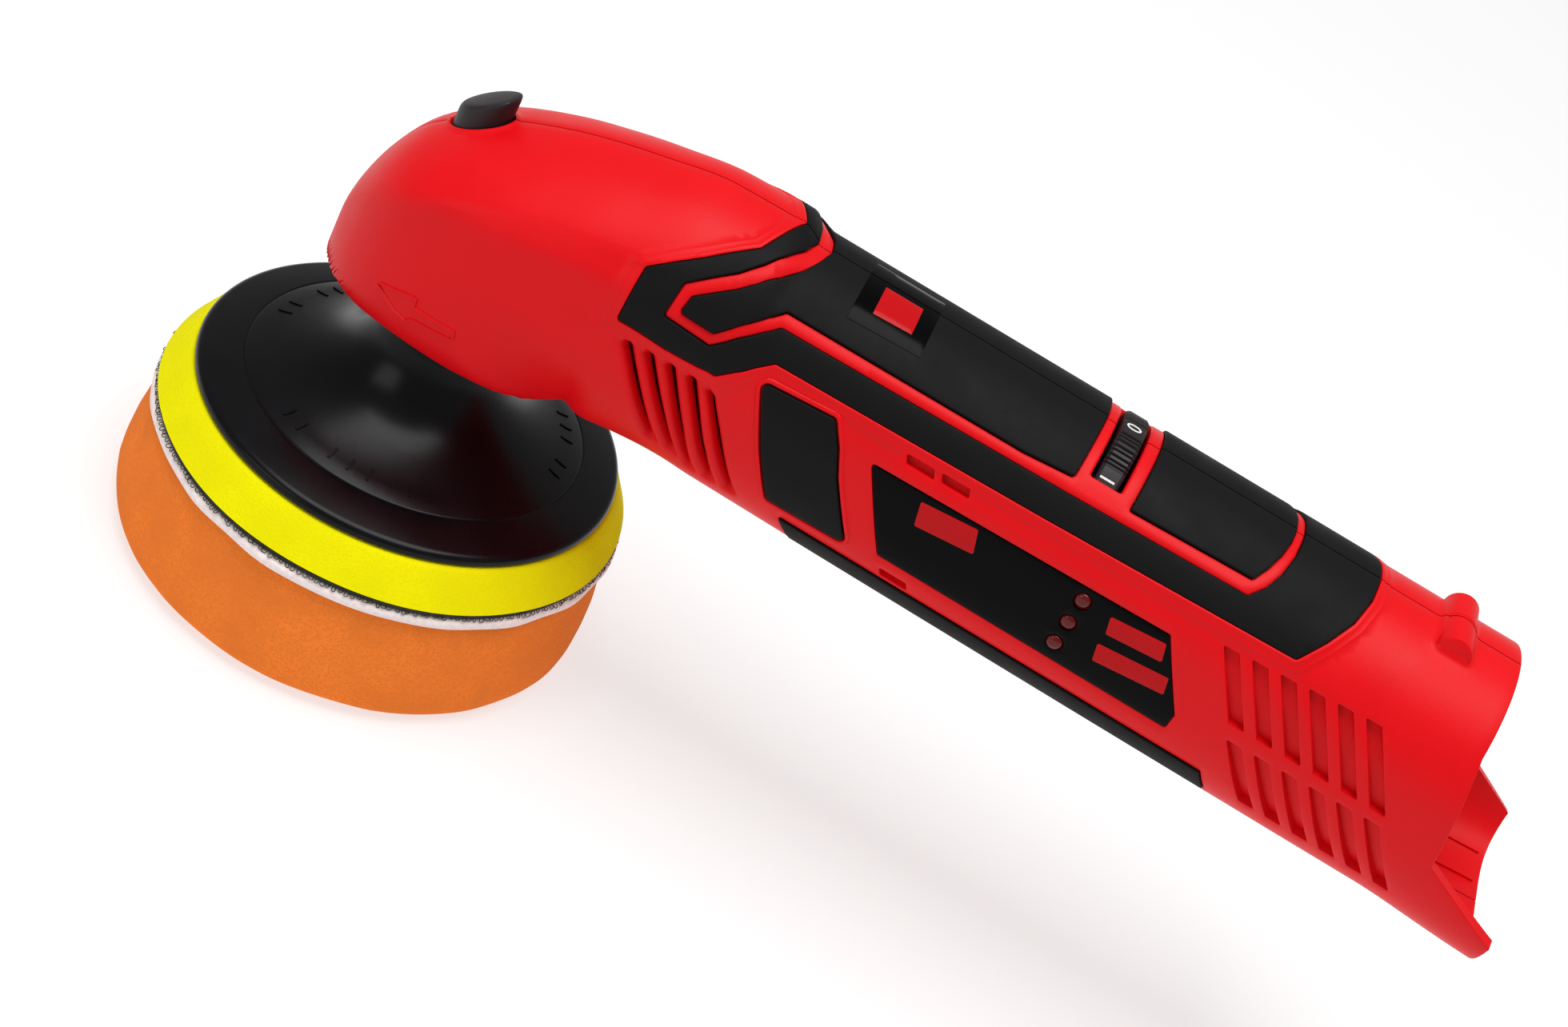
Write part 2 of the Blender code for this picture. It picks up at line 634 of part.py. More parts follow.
def gearbox():
    """Cup below the bevel gear, and the cover that carries the upper bearing and the motor's front one."""
    axis = (SPINDLE_X, 0, 0)
    cup = [(GEARBOX_RADIUS, 74.8), (GEARBOX_RADIUS, 89.4), (19.3, 89.4), (19.3, 83.2)]
    cup += [(13.3, 83.2), (13.3, 74.8)]
    add("gearbox_cup", turned(cup, 36), "zinc", axis)
    add("bearing_retainer", tube((8, 16), (73.6, 74.5)), "steel", axis)
    add("lower_bearing", tube((5, 13), (75, 82.9)), "steel", axis)
    add("upper_bearing", tube((3, 5.2), (94.5, 98.2), 20), "steel", axis)
    add("front_motor_bearing", tube((2.8, 8), (36.4, 41.4), 24), "steel", (0, 0, MOTOR_Z), "X")
    lid = [(0, 99.2), (6.5, 99.2), (6.5, 93.2), (GEARBOX_RADIUS, 93.2), (GEARBOX_RADIUS, 89.7)]
    lid += [(19.2, 89.7), (19.2, 91.8), (5.5, 91.8), (5.5, 98.5), (0, 98.5)]
    cover = add("gearbox_cover", turned(lid, 36), "zinc", axis)
    at = (0, 0, MOTOR_Z)
    roof = [(9.4 * cos(a), 9.4 * sin(a)) for a in np.radians(np.linspace(80, 280, 15))]
    solids = (
        ("snout_roof", moved(prism(roof, 7.6, 24), at, "X"), "UNION"),
        ("snout", moved(rod(10, 23, 44, 26), at, "X"), "UNION"),
        ("pinion_room", moved(rod(7.2, 9.6, 30), at, "X"), "DIFFERENCE"),
        ("shaft_bore", moved(rod(3.2, 29, 37, 16), at, "X"), "DIFFERENCE"),
        ("front_pocket", moved(rod(8.3, 36.1, 46, 22), at, "X"), "DIFFERENCE"),
        ("pin_bore", moved(rod(1.6, 85, 96, 12), (PIN_X, 0, 0)), "DIFFERENCE"),
    )
    for label, shape, operation in solids:
        change(cover, add(f"gearbox_cover_{label}", shape), operation, "MANIFOLD")


def arc_prism(radii, angles, low, high):
    """Part of a ring, drawn along X around the motor's axis."""
    steps = np.radians(np.linspace(*angles, 13))
    inner, outer = radii
    outline = [(outer * cos(a), outer * sin(a)) for a in steps]
    outline += [(inner * cos(a), inner * sin(a)) for a in steps[::-1]]
    return moved(prism(outline, low, high), (0, 0, MOTOR_Z), "X")


def motor():
    """Brushed motor: steel can, two magnets, brushes and end bell, all fixed to the casing."""
    can = [(18, 62), (18, 112), (16.8, 112), (16.8, 63.4), (4, 63.4), (4, 62)]
    add("motor_can", turned(can, 36), "zinc", (0, 0, MOTOR_Z), "X")
    bell = [(18, 112.3), (18, 117.5), (2.9, 117.5), (2.9, 114), (6.5, 114), (6.5, 112.3)]
    add("motor_end_bell", turned(bell, 36), "black", (0, 0, MOTOR_Z), "X")
    for word, start in (("upper", 120), ("lower", -60)):
        add(f"{word}_magnet", arc_prism((14.4, 16.5), (start, start + 120), 66, 108), "magnet")
        sign = 1 if word == "upper" else -1
        heights = sorted((MOTOR_Z + sign * 5.4, MOTOR_Z + sign * 12))
        add(f"{word}_brush", box((108, -2, heights[0]), (111.5, 2, heights[1])), "magnet")


def rotor(parent):
    """Everything that turns with the motor's shaft."""
    at = (0, 0, MOTOR_Z)
    pinion(parent)
    add("motor_shaft", rod(2.5, 14.0, 119, 16), "steel", at, "X", parent)
    fan = add("cooling_fan", fan_disc(), "black", at, "X", parent)
    blades = []
    for number in range(FAN_BLADES):
        blade = box((6, -0.6, 54), (16.3, 0.6, 60))
        angle = 2 * pi * number / FAN_BLADES
        blades.append(([turn_point(p, angle) for p in blade[0]], blade[1]))
    change(fan, add("cooling_fan_blades", moved(merged(blades), at, "X")), "UNION")
    add("rotor_core", tube((2.8, 13.9), (68, 103.5)), "copper", at, "X", parent)
    add("commutator", tube((2.8, 5.0), (106, 112.6), 20), "brass", at, "X", parent)


def turn_point(point, angle):
    x, y, z = point
    return x * cos(angle) - y * sin(angle), x * sin(angle) + y * cos(angle), z


def fan_disc():
    return turned([(16.6, 53.6), (16.6, 54.8), (5.6, 54.8), (5.6, 60), (2.8, 60), (2.8, 53.6)], 24)


def spindle(parent):
    """Shaft, eccentric carrier with its counterweight, and the bearing that the pad turns in."""
    axis = (SPINDLE_X, 0, 0)
    shaft = [(0, 98), (2.7, 98), (2.7, 91), (4.5, 91), (4.5, 83.2), (4.7, 83.2), (4.7, 74), (4, 74)]
    shaft += [(4, 71.5), (0, 71.5)]
    add("drive_spindle", turned(shaft, 20), "steel", axis, parent=parent)
    bevel_gear(parent)
    carrier = add("eccentric_carrier", rod(16.5, 64.9, 73.2, 36), "zinc", axis, parent=parent)
    half_ring = [(19 * cos(a), 19 * sin(a)) for a in np.linspace(-pi / 2, pi / 2, 19)]
    change(carrier, add("carrier_counterweight", moved(prism(half_ring, 67.5, 73.1), axis)), "UNION")
    change(carrier, add("carrier_bearing_pocket", rod(9.8, 60, 71.2, 32)))
    change(carrier, add("carrier_bore", moved(rod(4.3, 70, 75, 20), axis)))
    add("pad_bearing", tube((3.65, 9.5), (65.2, 70.8), 28), "steel", parent=parent)


def pad(parent):
    """Pad shaft, backing plate and the layers that the plate carries, all on the pad's own axis."""
    shaft = [(0, 70.6), (3.35, 70.6), (3.35, 63.6), (6.2, 63.6), (6.2, 62), (4, 62), (4, 49), (0, 49)]
    add("pad_shaft", turned(shaft, 20), "steel", parent=parent)
    plate = [(0, PLATE_Z), (PLATE_RADIUS, PLATE_Z), (PLATE_RADIUS, 39.7), (44.4, 40.3), (36.6, 42)]
    plate += [(36.1, 41.6), (35.6, 42.2), (29, 44.2), (21.5, 48.2), (16, 54.3), (13.4, HUB_TOP_Z)]
    plate += [(4.3, HUB_TOP_Z), (4.3, 48.4), (0, 48.4)]
    add("backing_plate", turned(plate, 36), "black", parent=parent)
    (bottom, top), (low, high) = FOAM_RING_RADII, FOAM_RING_Z
    cone = [(0, high), (top, high), (bottom, low), (0, low)]
    add("foam_layer", turned(cone, 40), "yellow", parent=parent)
    add("hook_layer", rod(HOOK_RADIUS, *HOOK_Z, 36), "hook", parent=parent)
    add("loop_layer", rod(LOOP_RADIUS, *LOOP_Z, 36), "loop", parent=parent)
    sides = [(47.1, PAD_THICKNESS), (49.6, 20), (51.2, 12.5), (PAD_RADIUS, 7), (50.9, 2.4), (48.4, 0)]
    add("foam_pad", turned([(0, PAD_THICKNESS), *sides, (0, 0)], 44), "orange", parent=parent)


def dial(parent):
    """Speed wheel with its own short shaft, and the potentiometer that the shaft turns."""
    x0, x1 = DIAL_X
    wheel = [(DIAL_RADIUS, x0), (DIAL_RADIUS, x1), (15.5, x1), (15.5, x1 - 1.6), (5, x1 - 1.6), (5, x1 + 1.2)]
    wheel = [(0, x0), *wheel, (3, x1 + 1.2), (3, x1 + 1.8), (0, x1 + 1.8)]
    at = (0, 0, DIAL_Z)
    add("speed_dial", turned(wheel, 36), "black", at, "X", parent)
    add("speed_potentiometer", rod(8, x1 + 2.1, x1 + 8.6), "grey", at, "X")


def button_level(height):
    """Plane with the slope of the head's front, at that height over the button's axis."""
    return lambda x, y: height + BUTTON_SLOPE * (x - BUTTON_X)


def lock_button(parent):
    """Spindle lock: slanted cap with a retaining flange, its pin and its spring."""
    at = (BUTTON_X, 0)
    cap = prism(ellipse(5.1, 4.6, 28, at), 96.9, button_level(BUTTON_Z))
    button = add("lock_button", cap, "black", parent=parent)
    flange = prism(ellipse(5.8, 5.9, 28, (BUTTON_X - 0.6, 0)), 96.4, 98.6)
    change(button, add("lock_button_flange", flange), "UNION")
    change(button, add("lock_button_spring_pocket", moved(rod(2.2, 95, 98.7, 14), (PIN_X, 0, 0))))
    add("lock_pin", rod(1.25, 87.5, 98.4, 12), "steel", (PIN_X, 0, 0), parent=parent)
    turns, steps = 3, 10
    curve = bpy.data.curves.new("lock_spring", "CURVE")
    curve.dimensions = "3D"
    curve.bevel_depth = 0.22 * MM
    curve.bevel_resolution = 0
    curve.use_fill_caps = True
    line = curve.splines.new("POLY")
    line.points.add(turns * steps)
    for k, point in enumerate(line.points):
        angle, height = 2 * pi * k / steps, 93.8 + 4.3 * k / (turns * steps)
        point.co = (*(Vector((PIN_X + 1.62 * cos(angle), 1.62 * sin(angle), height)) * MM), 1)
    spring = bpy.data.objects.new("lock_spring", curve)
    curve.materials.append(new_material("lock_spring", *FINISHES["steel"]))
    bpy.context.scene.collection.objects.link(spring)


def electrics():
    """Control board, charge light board and the block that meets the battery, slotted for its contacts."""
    add("control_board", box((139, -17, 87.2), (157, 17, 88.8)), "board")
    add("charge_light_board", box((129, -20.5, 84), (135, -19.2, 102)), "board")
    block = add("terminal_block", box((TERMINAL_X[0], -14, 79), (TERMINAL_X[1], 14, 108)), "black")
    slots = []
    for number, y in enumerate((-8, 8), 1):
        add(f"battery_contact_{number}", box((BLADE_X[0], y - 0.5, 88), (BLADE_X[1], y + 0.5, 100)), "brass")
        slots.append(box((BLADE_X[0] - GAP, y - 1.8, 87), (TERMINAL_X[1] + 1, y + 1.8, 101)))
    change(block, add("terminal_block_slots", merged(slots)))


def main():
    clear_scene()
    casing()
    screws()
    gearbox()
    motor()
    rotor(pivot("motor_axis", (0, 0, MOTOR_Z)))
    spindle(pivot("spindle_axis", (SPINDLE_X, 0, 0)))
    pad(pivot("pad_axis", (0, 0, 0)))
    dial(pivot("dial_axis", (0, 0, DIAL_Z)))
    lock_button(pivot("button_axis", (BUTTON_X, 0, 0)))
    electrics()


main()
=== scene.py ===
"""The looks of the cordless polisher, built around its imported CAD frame.

The casing, its rubber and its label are patches of one lofted surface. A place on it is (s, t): s runs
along the body from the nose, t is the distance down the side from the top seam. Lengths are in
millimetres until a mesh is made.
"""

import json
from collections import namedtuple
from math import acos, ceil, cos, hypot, pi, radians, sin, sqrt, tan
from random import Random

import bpy
import numpy as np
from mathutils import Matrix, Vector
from mathutils.geometry import delaunay_2d_cdt


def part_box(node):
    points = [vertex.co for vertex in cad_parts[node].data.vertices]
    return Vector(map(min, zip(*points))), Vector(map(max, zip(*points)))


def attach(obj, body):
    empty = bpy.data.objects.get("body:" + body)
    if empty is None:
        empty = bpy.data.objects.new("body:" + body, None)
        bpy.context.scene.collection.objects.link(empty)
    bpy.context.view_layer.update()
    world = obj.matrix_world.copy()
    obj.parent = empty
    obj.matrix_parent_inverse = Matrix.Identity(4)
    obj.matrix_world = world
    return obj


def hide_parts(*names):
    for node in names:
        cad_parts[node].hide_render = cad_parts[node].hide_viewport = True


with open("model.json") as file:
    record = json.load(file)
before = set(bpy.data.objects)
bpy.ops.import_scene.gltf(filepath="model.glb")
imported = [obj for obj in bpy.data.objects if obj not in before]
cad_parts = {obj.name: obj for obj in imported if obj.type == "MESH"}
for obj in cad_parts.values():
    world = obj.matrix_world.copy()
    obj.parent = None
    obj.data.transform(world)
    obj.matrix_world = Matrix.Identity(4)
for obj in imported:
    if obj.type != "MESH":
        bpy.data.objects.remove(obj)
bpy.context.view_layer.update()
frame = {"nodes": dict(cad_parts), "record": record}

MM = 0.001
STRAIGHT_SPACING = 1.5  # skins on a finer grid than this get sides that are straight in space
SEAM = 0.15  # half the gap between the two halves of the casing
WALL = 2.4
CASING_GRID, LABEL_GRID, STICKER_GRID, RUBBER_GRID = 1.6, 1.6, 1.4, 1.3  # spacing of the points of each skin
NOSE_X, HANDLE_X, RIM_X, REAR_X = -28.7, 57.5, 208.0, 231.4
HANDLE_TOP_Z = 119.9
EGG = (28.5, 24.4)  # half axes of the head's outline at its lower edge
COLLAR_BORE = (26.0, 21.9)
COLLAR_Z = 65.2
RUBBER_HEIGHT = 0.4  # how far the rubber stands above the casing
POCKET = 0.9  # depth of the rubber's pockets
RUBBER_GAP = 0.16
SEAM_CORNER = 0.1  # radius of the corners where two halves meet
PEG_X = 194.6
DIAL_X, DIAL_Z, DIAL_RADIUS = (121.9, 126.9), 103.0, 18.0
BUTTON_X, BUTTON_Z, BUTTON_SLOPE = -10.6, 110.8, 0.72
BUTTON_HALF_AXES = (5.1, 4.6)

# Casing sections: x, half width, shoulder z, top z, bottom z, power of the top arc, power of the bottom arc
STATIONS = (
    (NOSE_X, 0.0, 70.0, 73.0, 65.2, 2.0, 8.0),
    (-27.6, 6.2, 76.0, 82.0, 65.2, 2.0, 8.0),
    (-25.0, 11.4, 82.0, 90.2, 65.2, 1.9, 8.0),
    (-20.0, 17.2, 89.0, 98.8, 65.2, 1.8, 8.0),
    (-12.0, 21.8, 95.0, 105.2, 65.2, 1.7, 8.0),
    (-2.0, 24.1, 98.5, 110.6, 65.2, 1.65, 8.0),
    (10.0, 24.9, 101.0, 115.4, 65.2, 1.65, 7.0),
    (24.0, 24.9, 103.0, 119.2, 65.8, 1.7, 5.0),
    (38.0, 24.8, 102.0, 122.0, 67.4, 1.8, 3.2),
    (51.6, 24.6, 98.0, 122.3, 67.7, 1.95, 2.8),
    (HANDLE_X, 24.5, 96.0, HANDLE_TOP_Z, 67.6, 2.0, 2.8),
    (205.0, 24.5, 96.0, HANDLE_TOP_Z, 66.3, 2.0, 2.8),
    (REAR_X, 24.5, 96.0, HANDLE_TOP_Z, 67.2, 2.0, 3.9),
)

# Outlines on the left side as (x, t). BEYOND is a t past the top seam, for shapes that run across it.
BEYOND = -4.0
BAND_OUTER = (
    (52.8, BEYOND), (52.8, 0), (48.5, 12.1), (40.8, 19.4), (32.5, 25.8), (32.5, 37.4), (42.6, 38.0),
    (53.0, 36.9), (61.6, 27.3), (116.4, 26.3), (169.9, 24.8), (173.2, 19.4), (175.9, 13.6),
    (177.3, 7.0), (177.6, 0), (177.6, BEYOND),
)
BAND_INNER = (
    (56.4, BEYOND), (56.4, 0), (55.4, 5.0), (53.2, 10.0), (50.6, 14.4), (47.4, 18.5), (40.0, 25.2),
    (39.6, 32.4), (49.5, 33.0), (59.2, 21.3), (117.7, 20.3), (156.6, 19.4), (158.9, 16.2), (160.3, 12.4),
    (161.3, 6.8), (161.6, 0), (161.6, BEYOND),
)
FRONT_PANEL = (
    (59.6, BEYOND), (59.6, 0), (58.8, 4.4), (57.2, 8.8), (54.4, 14.2), (51.6, 18.2), (48.7, 21.4),
    (42.5, 26.7), (42.0, 30.2), (49.1, 30.4),
    (58.6, 18.1), (108.6, 17.8), (118.6, 16.9), (118.9, 0), (118.9, BEYOND),
)
REAR_PANEL = (
    (130.6, BEYOND), (130.6, 0), (130.5, 16.9), (156.0, 16.1), (157.6, 12.6), (158.8, 8.6), (159.5, 4.4),
    (159.7, 0), (159.7, BEYOND),
)
SIDE_PAD = ((61.3, 31.5), (76.1, 30.5), (79.2, 35.1), (81.8, 40.7), (89.2, 53.2), (72.4, 53.8), (66.9, 43.6))
LABEL = ((86.0, 34.2), (148.4, 33.0), (157.7, 47.5), (157.7, 51.3), (95.6, 51.3))
LOWER_STRIP = ((76.0, 57.2), (168.2, 57.2), (171.4, 63.4), (79.6, 63.4))
SLOT_CENTRES = ((93.7, 30.0), (101.0, 29.7), (100.3, 55.2))
LED_PLACES = ((131.8, 36.2), (131.8, 41.7), (131.8, 47.2))
SCREWS_XZ = ((-23.1, 79.0), (27.0, 110.5), (30.0, 73.6), (68.0, 71.6), (143.0, 104.35), (176.0, 71.9))
CREASE_XZ = ((-17.0, 94.6), (-6.0, 98.8), (4.0, 103.0), (14.0, 105.9), (25.0, 108.3), (33.0, 110.0))
CREASE_DEPTH = 0.5
NOSE_REACH = 1.6  # the nose is nearly flat as far as this from the seam
NOSE_END_X = -22.0  # everything in front of this faces forward
ARROW_XZ = (
    (-11.8, 76.3), (-3.1, 79.0), (-2.9, 76.9), (6.0, 77.4), (6.4, 75.5), (-2.5, 74.4), (-3.7, 73.2),
    (-6.2, 73.5),
)


# --- The lofted surface ---


def smooth_curve(xs, ys):
    """Curve through the points that never overshoots them (monotone cubic)."""
    xs, ys = np.array(xs, float), np.array(ys, float)
    step = np.diff(xs)
    rise = np.diff(ys) / step
    slope = np.concatenate([rise[:1], np.zeros(len(xs) - 2), rise[-1:]])
    for i in range(1, len(xs) - 1):
        if rise[i - 1] * rise[i] > 0:
            before, after = 2 * step[i] + step[i - 1], step[i] + 2 * step[i - 1]
            slope[i] = (before + after) / (before / rise[i - 1] + after / rise[i])

    def at(x):
        x = np.clip(x, xs[0], xs[-1])
        i = np.clip(np.searchsorted(xs, x) - 1, 0, len(step) - 1)
        s = (x - xs[i]) / step[i]
        start = (1 + 2 * s) * (1 - s) ** 2 * ys[i] + s * (1 - s) ** 2 * step[i] * slope[i]
        return start + s * s * (3 - 2 * s) * ys[i + 1] + s * s * (s - 1) * step[i] * slope[i + 1]

    return at


def smoothstep(u):
    u = np.clip(u, 0, 1)
    return u * u * (3 - 2 * u)


STATION_ROOTS = [sqrt(station[0] - NOSE_X) for station in STATIONS]
SECTION_CURVES = [smooth_curve(STATION_ROOTS, [s[k] for s in STATIONS]) for k in range(1, 7)]


def chin(x, y, z, width):
    """Draws the head's lower side in to the egg-shaped edge round the spindle."""
    egg = EGG[1] * sqrt(max(1 - (x / EGG[0]) ** 2, 0))
    if x <= 0 or egg >= width:
        return y
    rise = np.sin(np.clip((z - COLLAR_Z) / 25, 0, 1) * pi / 2)
    round_bottom = (1 - np.clip((96 - z) / 29.3, 0, 1) ** 2.8) ** (1 / 2.8)
    share = smoothstep((x - 20) / 14)
    limit = egg + (width - egg) * ((1 - share) * rise + share * round_bottom)
    keep = 1 - smoothstep((x - 26) / 16)
    return -np.abs(y) * (1 - keep) - np.minimum(np.abs(y), limit) * keep


def section(x):
    """(y, z, distance run) of the left half's section at x, from the top seam to the bottom seam."""
    turns = np.linspace(0, pi, 721)
    root = sqrt(max(x - NOSE_X, 0))
    width, middle, top, bottom, top_power, bottom_power = [float(curve(root)) for curve in SECTION_CURVES]
    across, up = np.sin(turns), np.cos(turns)
    power = np.where(up > 0, top_power, bottom_power)
    y = -width * np.abs(across) ** (2 / power)
    z = middle + np.where(up > 0, top - middle, middle - bottom) * np.sign(up) * np.abs(up) ** (2 / power)
    y = chin(x, y, z, width)
    run = np.concatenate([[0], np.cumsum(np.hypot(np.diff(y), np.diff(z)))])
    return y, z, run


# s is the length of the plan outline from the nose, so that the blunt nose gets its share of the grid.
PLAN_X = NOSE_X + np.linspace(0, sqrt(REAR_X - NOSE_X), 3000) ** 2
PLAN_Y = SECTION_CURVES[0](np.sqrt(PLAN_X - NOSE_X))
PLAN_S = np.concatenate([[0], np.cumsum(np.hypot(np.diff(PLAN_X), np.diff(PLAN_Y)))])


def s_of(x):
    return np.interp(x, PLAN_X, PLAN_S)


def x_of(s):
    return np.interp(s, PLAN_S, PLAN_X)


class Loft:
    """The left side's surface and its outward direction, tabled over (s, t)."""

    def __init__(self, step=0.4):
        self.s = np.arange(0, PLAN_S[-1] + step, step)
        self.t = np.arange(0, 96, step)
        rows = []
        self.reach = []
        for s in self.s:
            x = float(x_of(s))
            y, z, run = section(x)
            self.reach.append(run[-1])
            columns = np.full(len(self.t), x), np.interp(self.t, run, y), np.interp(self.t, run, z)
            rows.append(np.stack(columns, 1))
        self.points = np.array(rows)
        mirrored = self.points[:, 1:2] * (1, -1, 1)
        around = np.gradient(np.concatenate([mirrored, self.points], 1), axis=1)[:, 1:]
        outward = np.cross(around, np.gradient(self.points, axis=0))
        first = int(NOSE_REACH / step)
        for i in range(first):
            outward[i] = outward[first] * (1, i / first, 1)
        nose = self.points[:, :, 0] < NOSE_END_X
        outward[nose, 0] = -np.abs(outward[nose, 0])
        length = np.linalg.norm(outward, axis=2, keepdims=True)
        self.outward = outward / np.maximum(length, 1e-9)
        self.points = self.points + self.outward * self.crease()[:, :, None]

    def crease(self):
        """Heights that leave a soft edge along the head: the side is pressed in just below it."""
        xs, zs = zip(*CREASE_XZ)
        run = smooth_curve(xs, [self.t_at_z(x, z) for x, z in CREASE_XZ])
        x = x_of(self.s)[:, None]
        below = self.t[None, :] - run(x)
        along = smoothstep((x - xs[0]) / 16) * (1 - smoothstep((x - xs[-1]) / 6))
        return -CREASE_DEPTH * along * smoothstep(below / 1.8 + 0.5) * (1 - smoothstep((below - 1.5) / 16))

    def read(self, table, places):
        u = np.clip(places[:, 0] / (self.s[1] - self.s[0]), 0, len(self.s) - 1.001)
        v = np.clip(places[:, 1] / (self.t[1] - self.t[0]), 0, len(self.t) - 1.001)
        i, j = u.astype(int), v.astype(int)
        fu, fv = (u - i)[:, None], (v - j)[:, None]
        near = table[i, j] * (1 - fv) + table[i, j + 1] * fv
        far = table[i + 1, j] * (1 - fv) + table[i + 1, j + 1] * fv
        return near * (1 - fu) + far * fu

    def place(self, places, heights):
        """Points at the heights above the surface, kept on their own side of the seam."""
        places = np.asarray(places, float)
        outward = self.read(self.outward, places)
        outward /= np.maximum(np.linalg.norm(outward, axis=1, keepdims=True), 1e-9)
        found = self.read(self.points, places) + outward * np.asarray(heights)[:, None]
        found[:, 1] = np.minimum(found[:, 1], -SEAM)
        return found

    def at(self, x, t):
        y, z, run = section(x)
        return x, float(np.interp(t, run, y)), float(np.interp(t, run, z))

    def bottom(self, x):
        """t of the bottom seam at x."""
        return float(np.interp(s_of(x), self.s, self.reach))

    def t_at_z(self, x, z):
        y, heights, run = section(x)
        return float(np.interp(-z, -heights, run))

    def t_at_y(self, x, y):
        """t on the underside, at that distance from the seam."""
        ys, _, run = section(x)
        under = slice(len(ys) // 2, None)
        return float(np.interp(-abs(y), ys[under], run[under]))


LOFT = Loft()


# --- Outlines ---


def turned_pairs(outline):
    outline = np.asarray(outline, float)
    return outline, np.roll(outline, -1, axis=0)


def signed_distance(points, outline):
    """Distance of each point from the closed outline, below 0 inside."""
    points = np.asarray(points, float)
    a, b = turned_pairs(outline)
    best = np.full(len(points), 1e9)
    crossings = np.zeros(len(points), int)
    for (x0, y0), (x1, y1) in zip(a, b):
        dx, dy = x1 - x0, y1 - y0
        px, py = points[:, 0] - x0, points[:, 1] - y0
        along = np.clip((px * dx + py * dy) / max(dx * dx + dy * dy, 1e-12), 0, 1)
        best = np.minimum(best, np.hypot(px - along * dx, py - along * dy))
        if y0 != y1:
            spans = (y0 > points[:, 1]) != (y1 > points[:, 1])
            crossings += spans & (points[:, 0] < x0 + dx * (points[:, 1] - y0) / dy)
    return np.where(crossings % 2 == 1, -best, best)


def area(outline):
    a, b = turned_pairs(outline)
    return 0.5 * float(np.sum(a[:, 0] * b[:, 1] - b[:, 0] * a[:, 1]))


def grown(outline, by):
    """The outline with every side moved outwards, its corners kept sharp."""
    by = by if area(outline) > 0 else -by
    found = []
    for before, here, after in zip([outline[-1], *outline[:-1]], outline, [*outline[1:], outline[0]]):
        one = Vector((here[0] - before[0], here[1] - before[1])).normalized()
        two = Vector((after[0] - here[0], after[1] - here[1])).normalized()
        out_one, out_two = Vector((one.y, -one.x)), Vector((two.y, -two.x))
        middle = (out_one + out_two).normalized()
        reach = by / max(middle.dot(out_one), 0.35)
        found.append((here[0] + middle.x * reach, here[1] + middle.y * reach))
    return found


def rounded(outline, radius, grow=0.0, steps=5):
    """The outline grown and with each corner turned into an arc."""
    facing = 1 if area(outline) > 0 else -1
    sharp = grown(outline, grow) if grow else list(outline)
    found = []
    for before, here, after in zip([sharp[-1], *sharp[:-1]], sharp, [*sharp[1:], sharp[0]]):
        to_before = Vector((before[0] - here[0], before[1] - here[1]))
        to_after = Vector((after[0] - here[0], after[1] - here[1]))
        turn = (-to_before).normalized().cross(to_after.normalized()) * facing
        wanted = max(radius + grow if turn > 0 else radius - grow, 0.04)
        if abs(here[1]) < 1.0:
            wanted = SEAM_CORNER
        half = acos(max(-1, min(1, to_before.normalized().dot(to_after.normalized())))) / 2
        if half > pi / 2 - 0.14:
            found.append(tuple(here))
            continue
        cut = min(wanted / tan(half), 0.45 * min(to_before.length, to_after.length))
        start = Vector(here) + to_before.normalized() * cut
        end = Vector(here) + to_after.normalized() * cut
        inwards = (to_before.normalized() + to_after.normalized()).normalized()
        centre = Vector(here) + inwards * (cut / cos(half))
        arm, last = start - centre, end - centre
        sweep = arm.angle_signed(last)
        for k in range(steps + 1):
            turned_arm = Matrix.Rotation(-sweep * k / steps, 2) @ arm
            found.append(tuple(centre + turned_arm))
    return found


def dense(outline, longest):
    found = []
    for (x0, t0), (x1, t1) in zip(outline, [*outline[1:], outline[0]]):
        cuts = max(1, ceil(hypot(x1 - x0, t1 - t0) / longest))
        found += [(x0 + (x1 - x0) * k / cuts, t0 + (t1 - t0) * k / cuts) for k in range(cuts)]
    return found


def in_s(outline):
    """The outline's x turned into s."""
    return [(float(s_of(x)), t) for x, t in outline]


def straight(outline, longest=3.4):
    """The outline with more points, so that its sides are straight in space although the casing curves."""
    found = []
    for (x0, t0), (x1, t1) in zip(outline, [*outline[1:], outline[0]]):
        cuts = max(1, int(hypot(x1 - x0, t1 - t0) / longest))
        found.append((x0, t0))
        if min(x0, x1) > HANDLE_X or x0 == x1 or min(t0, t1) < 0:
            continue
        ends = np.array([LOFT.at(x0, t0), LOFT.at(x1, t1)])
        for k in range(1, cuts):
            x, y, z = ends[0] + (ends[1] - ends[0]) * k / cuts
            ys, zs, run = section(x)
            found.append((x, float(run[np.argmin((ys - y) ** 2 + (zs - z) ** 2)])))
    return found


def circle(x, t, radius, count=28):
    steps = [2 * pi * k / count for k in range(count)]
    return [(x + radius * cos(a), t + radius * sin(a)) for a in steps]


Feature = namedtuple("Feature", "outline radius rings hole")


def feature(outline, rings, radius=0.5, hole=False):
    """Shape pressed into or out of a skin. rings are (distance outwards, height) from the outermost to the
    innermost; what is inside the last one has its height, or is left out for a hole."""
    return Feature(in_s(straight(outline)), radius, rings, hole)


def relief(points, features, skip=None):
    """Sum of the features' heights at the points."""
    points = np.asarray(points, float)
    total = np.zeros(len(points))
    for one in features:
        if one is skip:
            continue
        outline, reach = rounded(one.outline, one.radius), max(one.rings[0][0], 0) + 0.1
        lowest, highest = np.min(outline, axis=0) - reach, np.max(outline, axis=0) + reach
        near = np.all((points > lowest) & (points < highest), axis=1)
        depth = -signed_distance(points[near], outline)
        total[near] += np.interp(depth, [-r[0] for r in one.rings], [r[1] for r in one.rings])
    return total


# --- Meshes ---


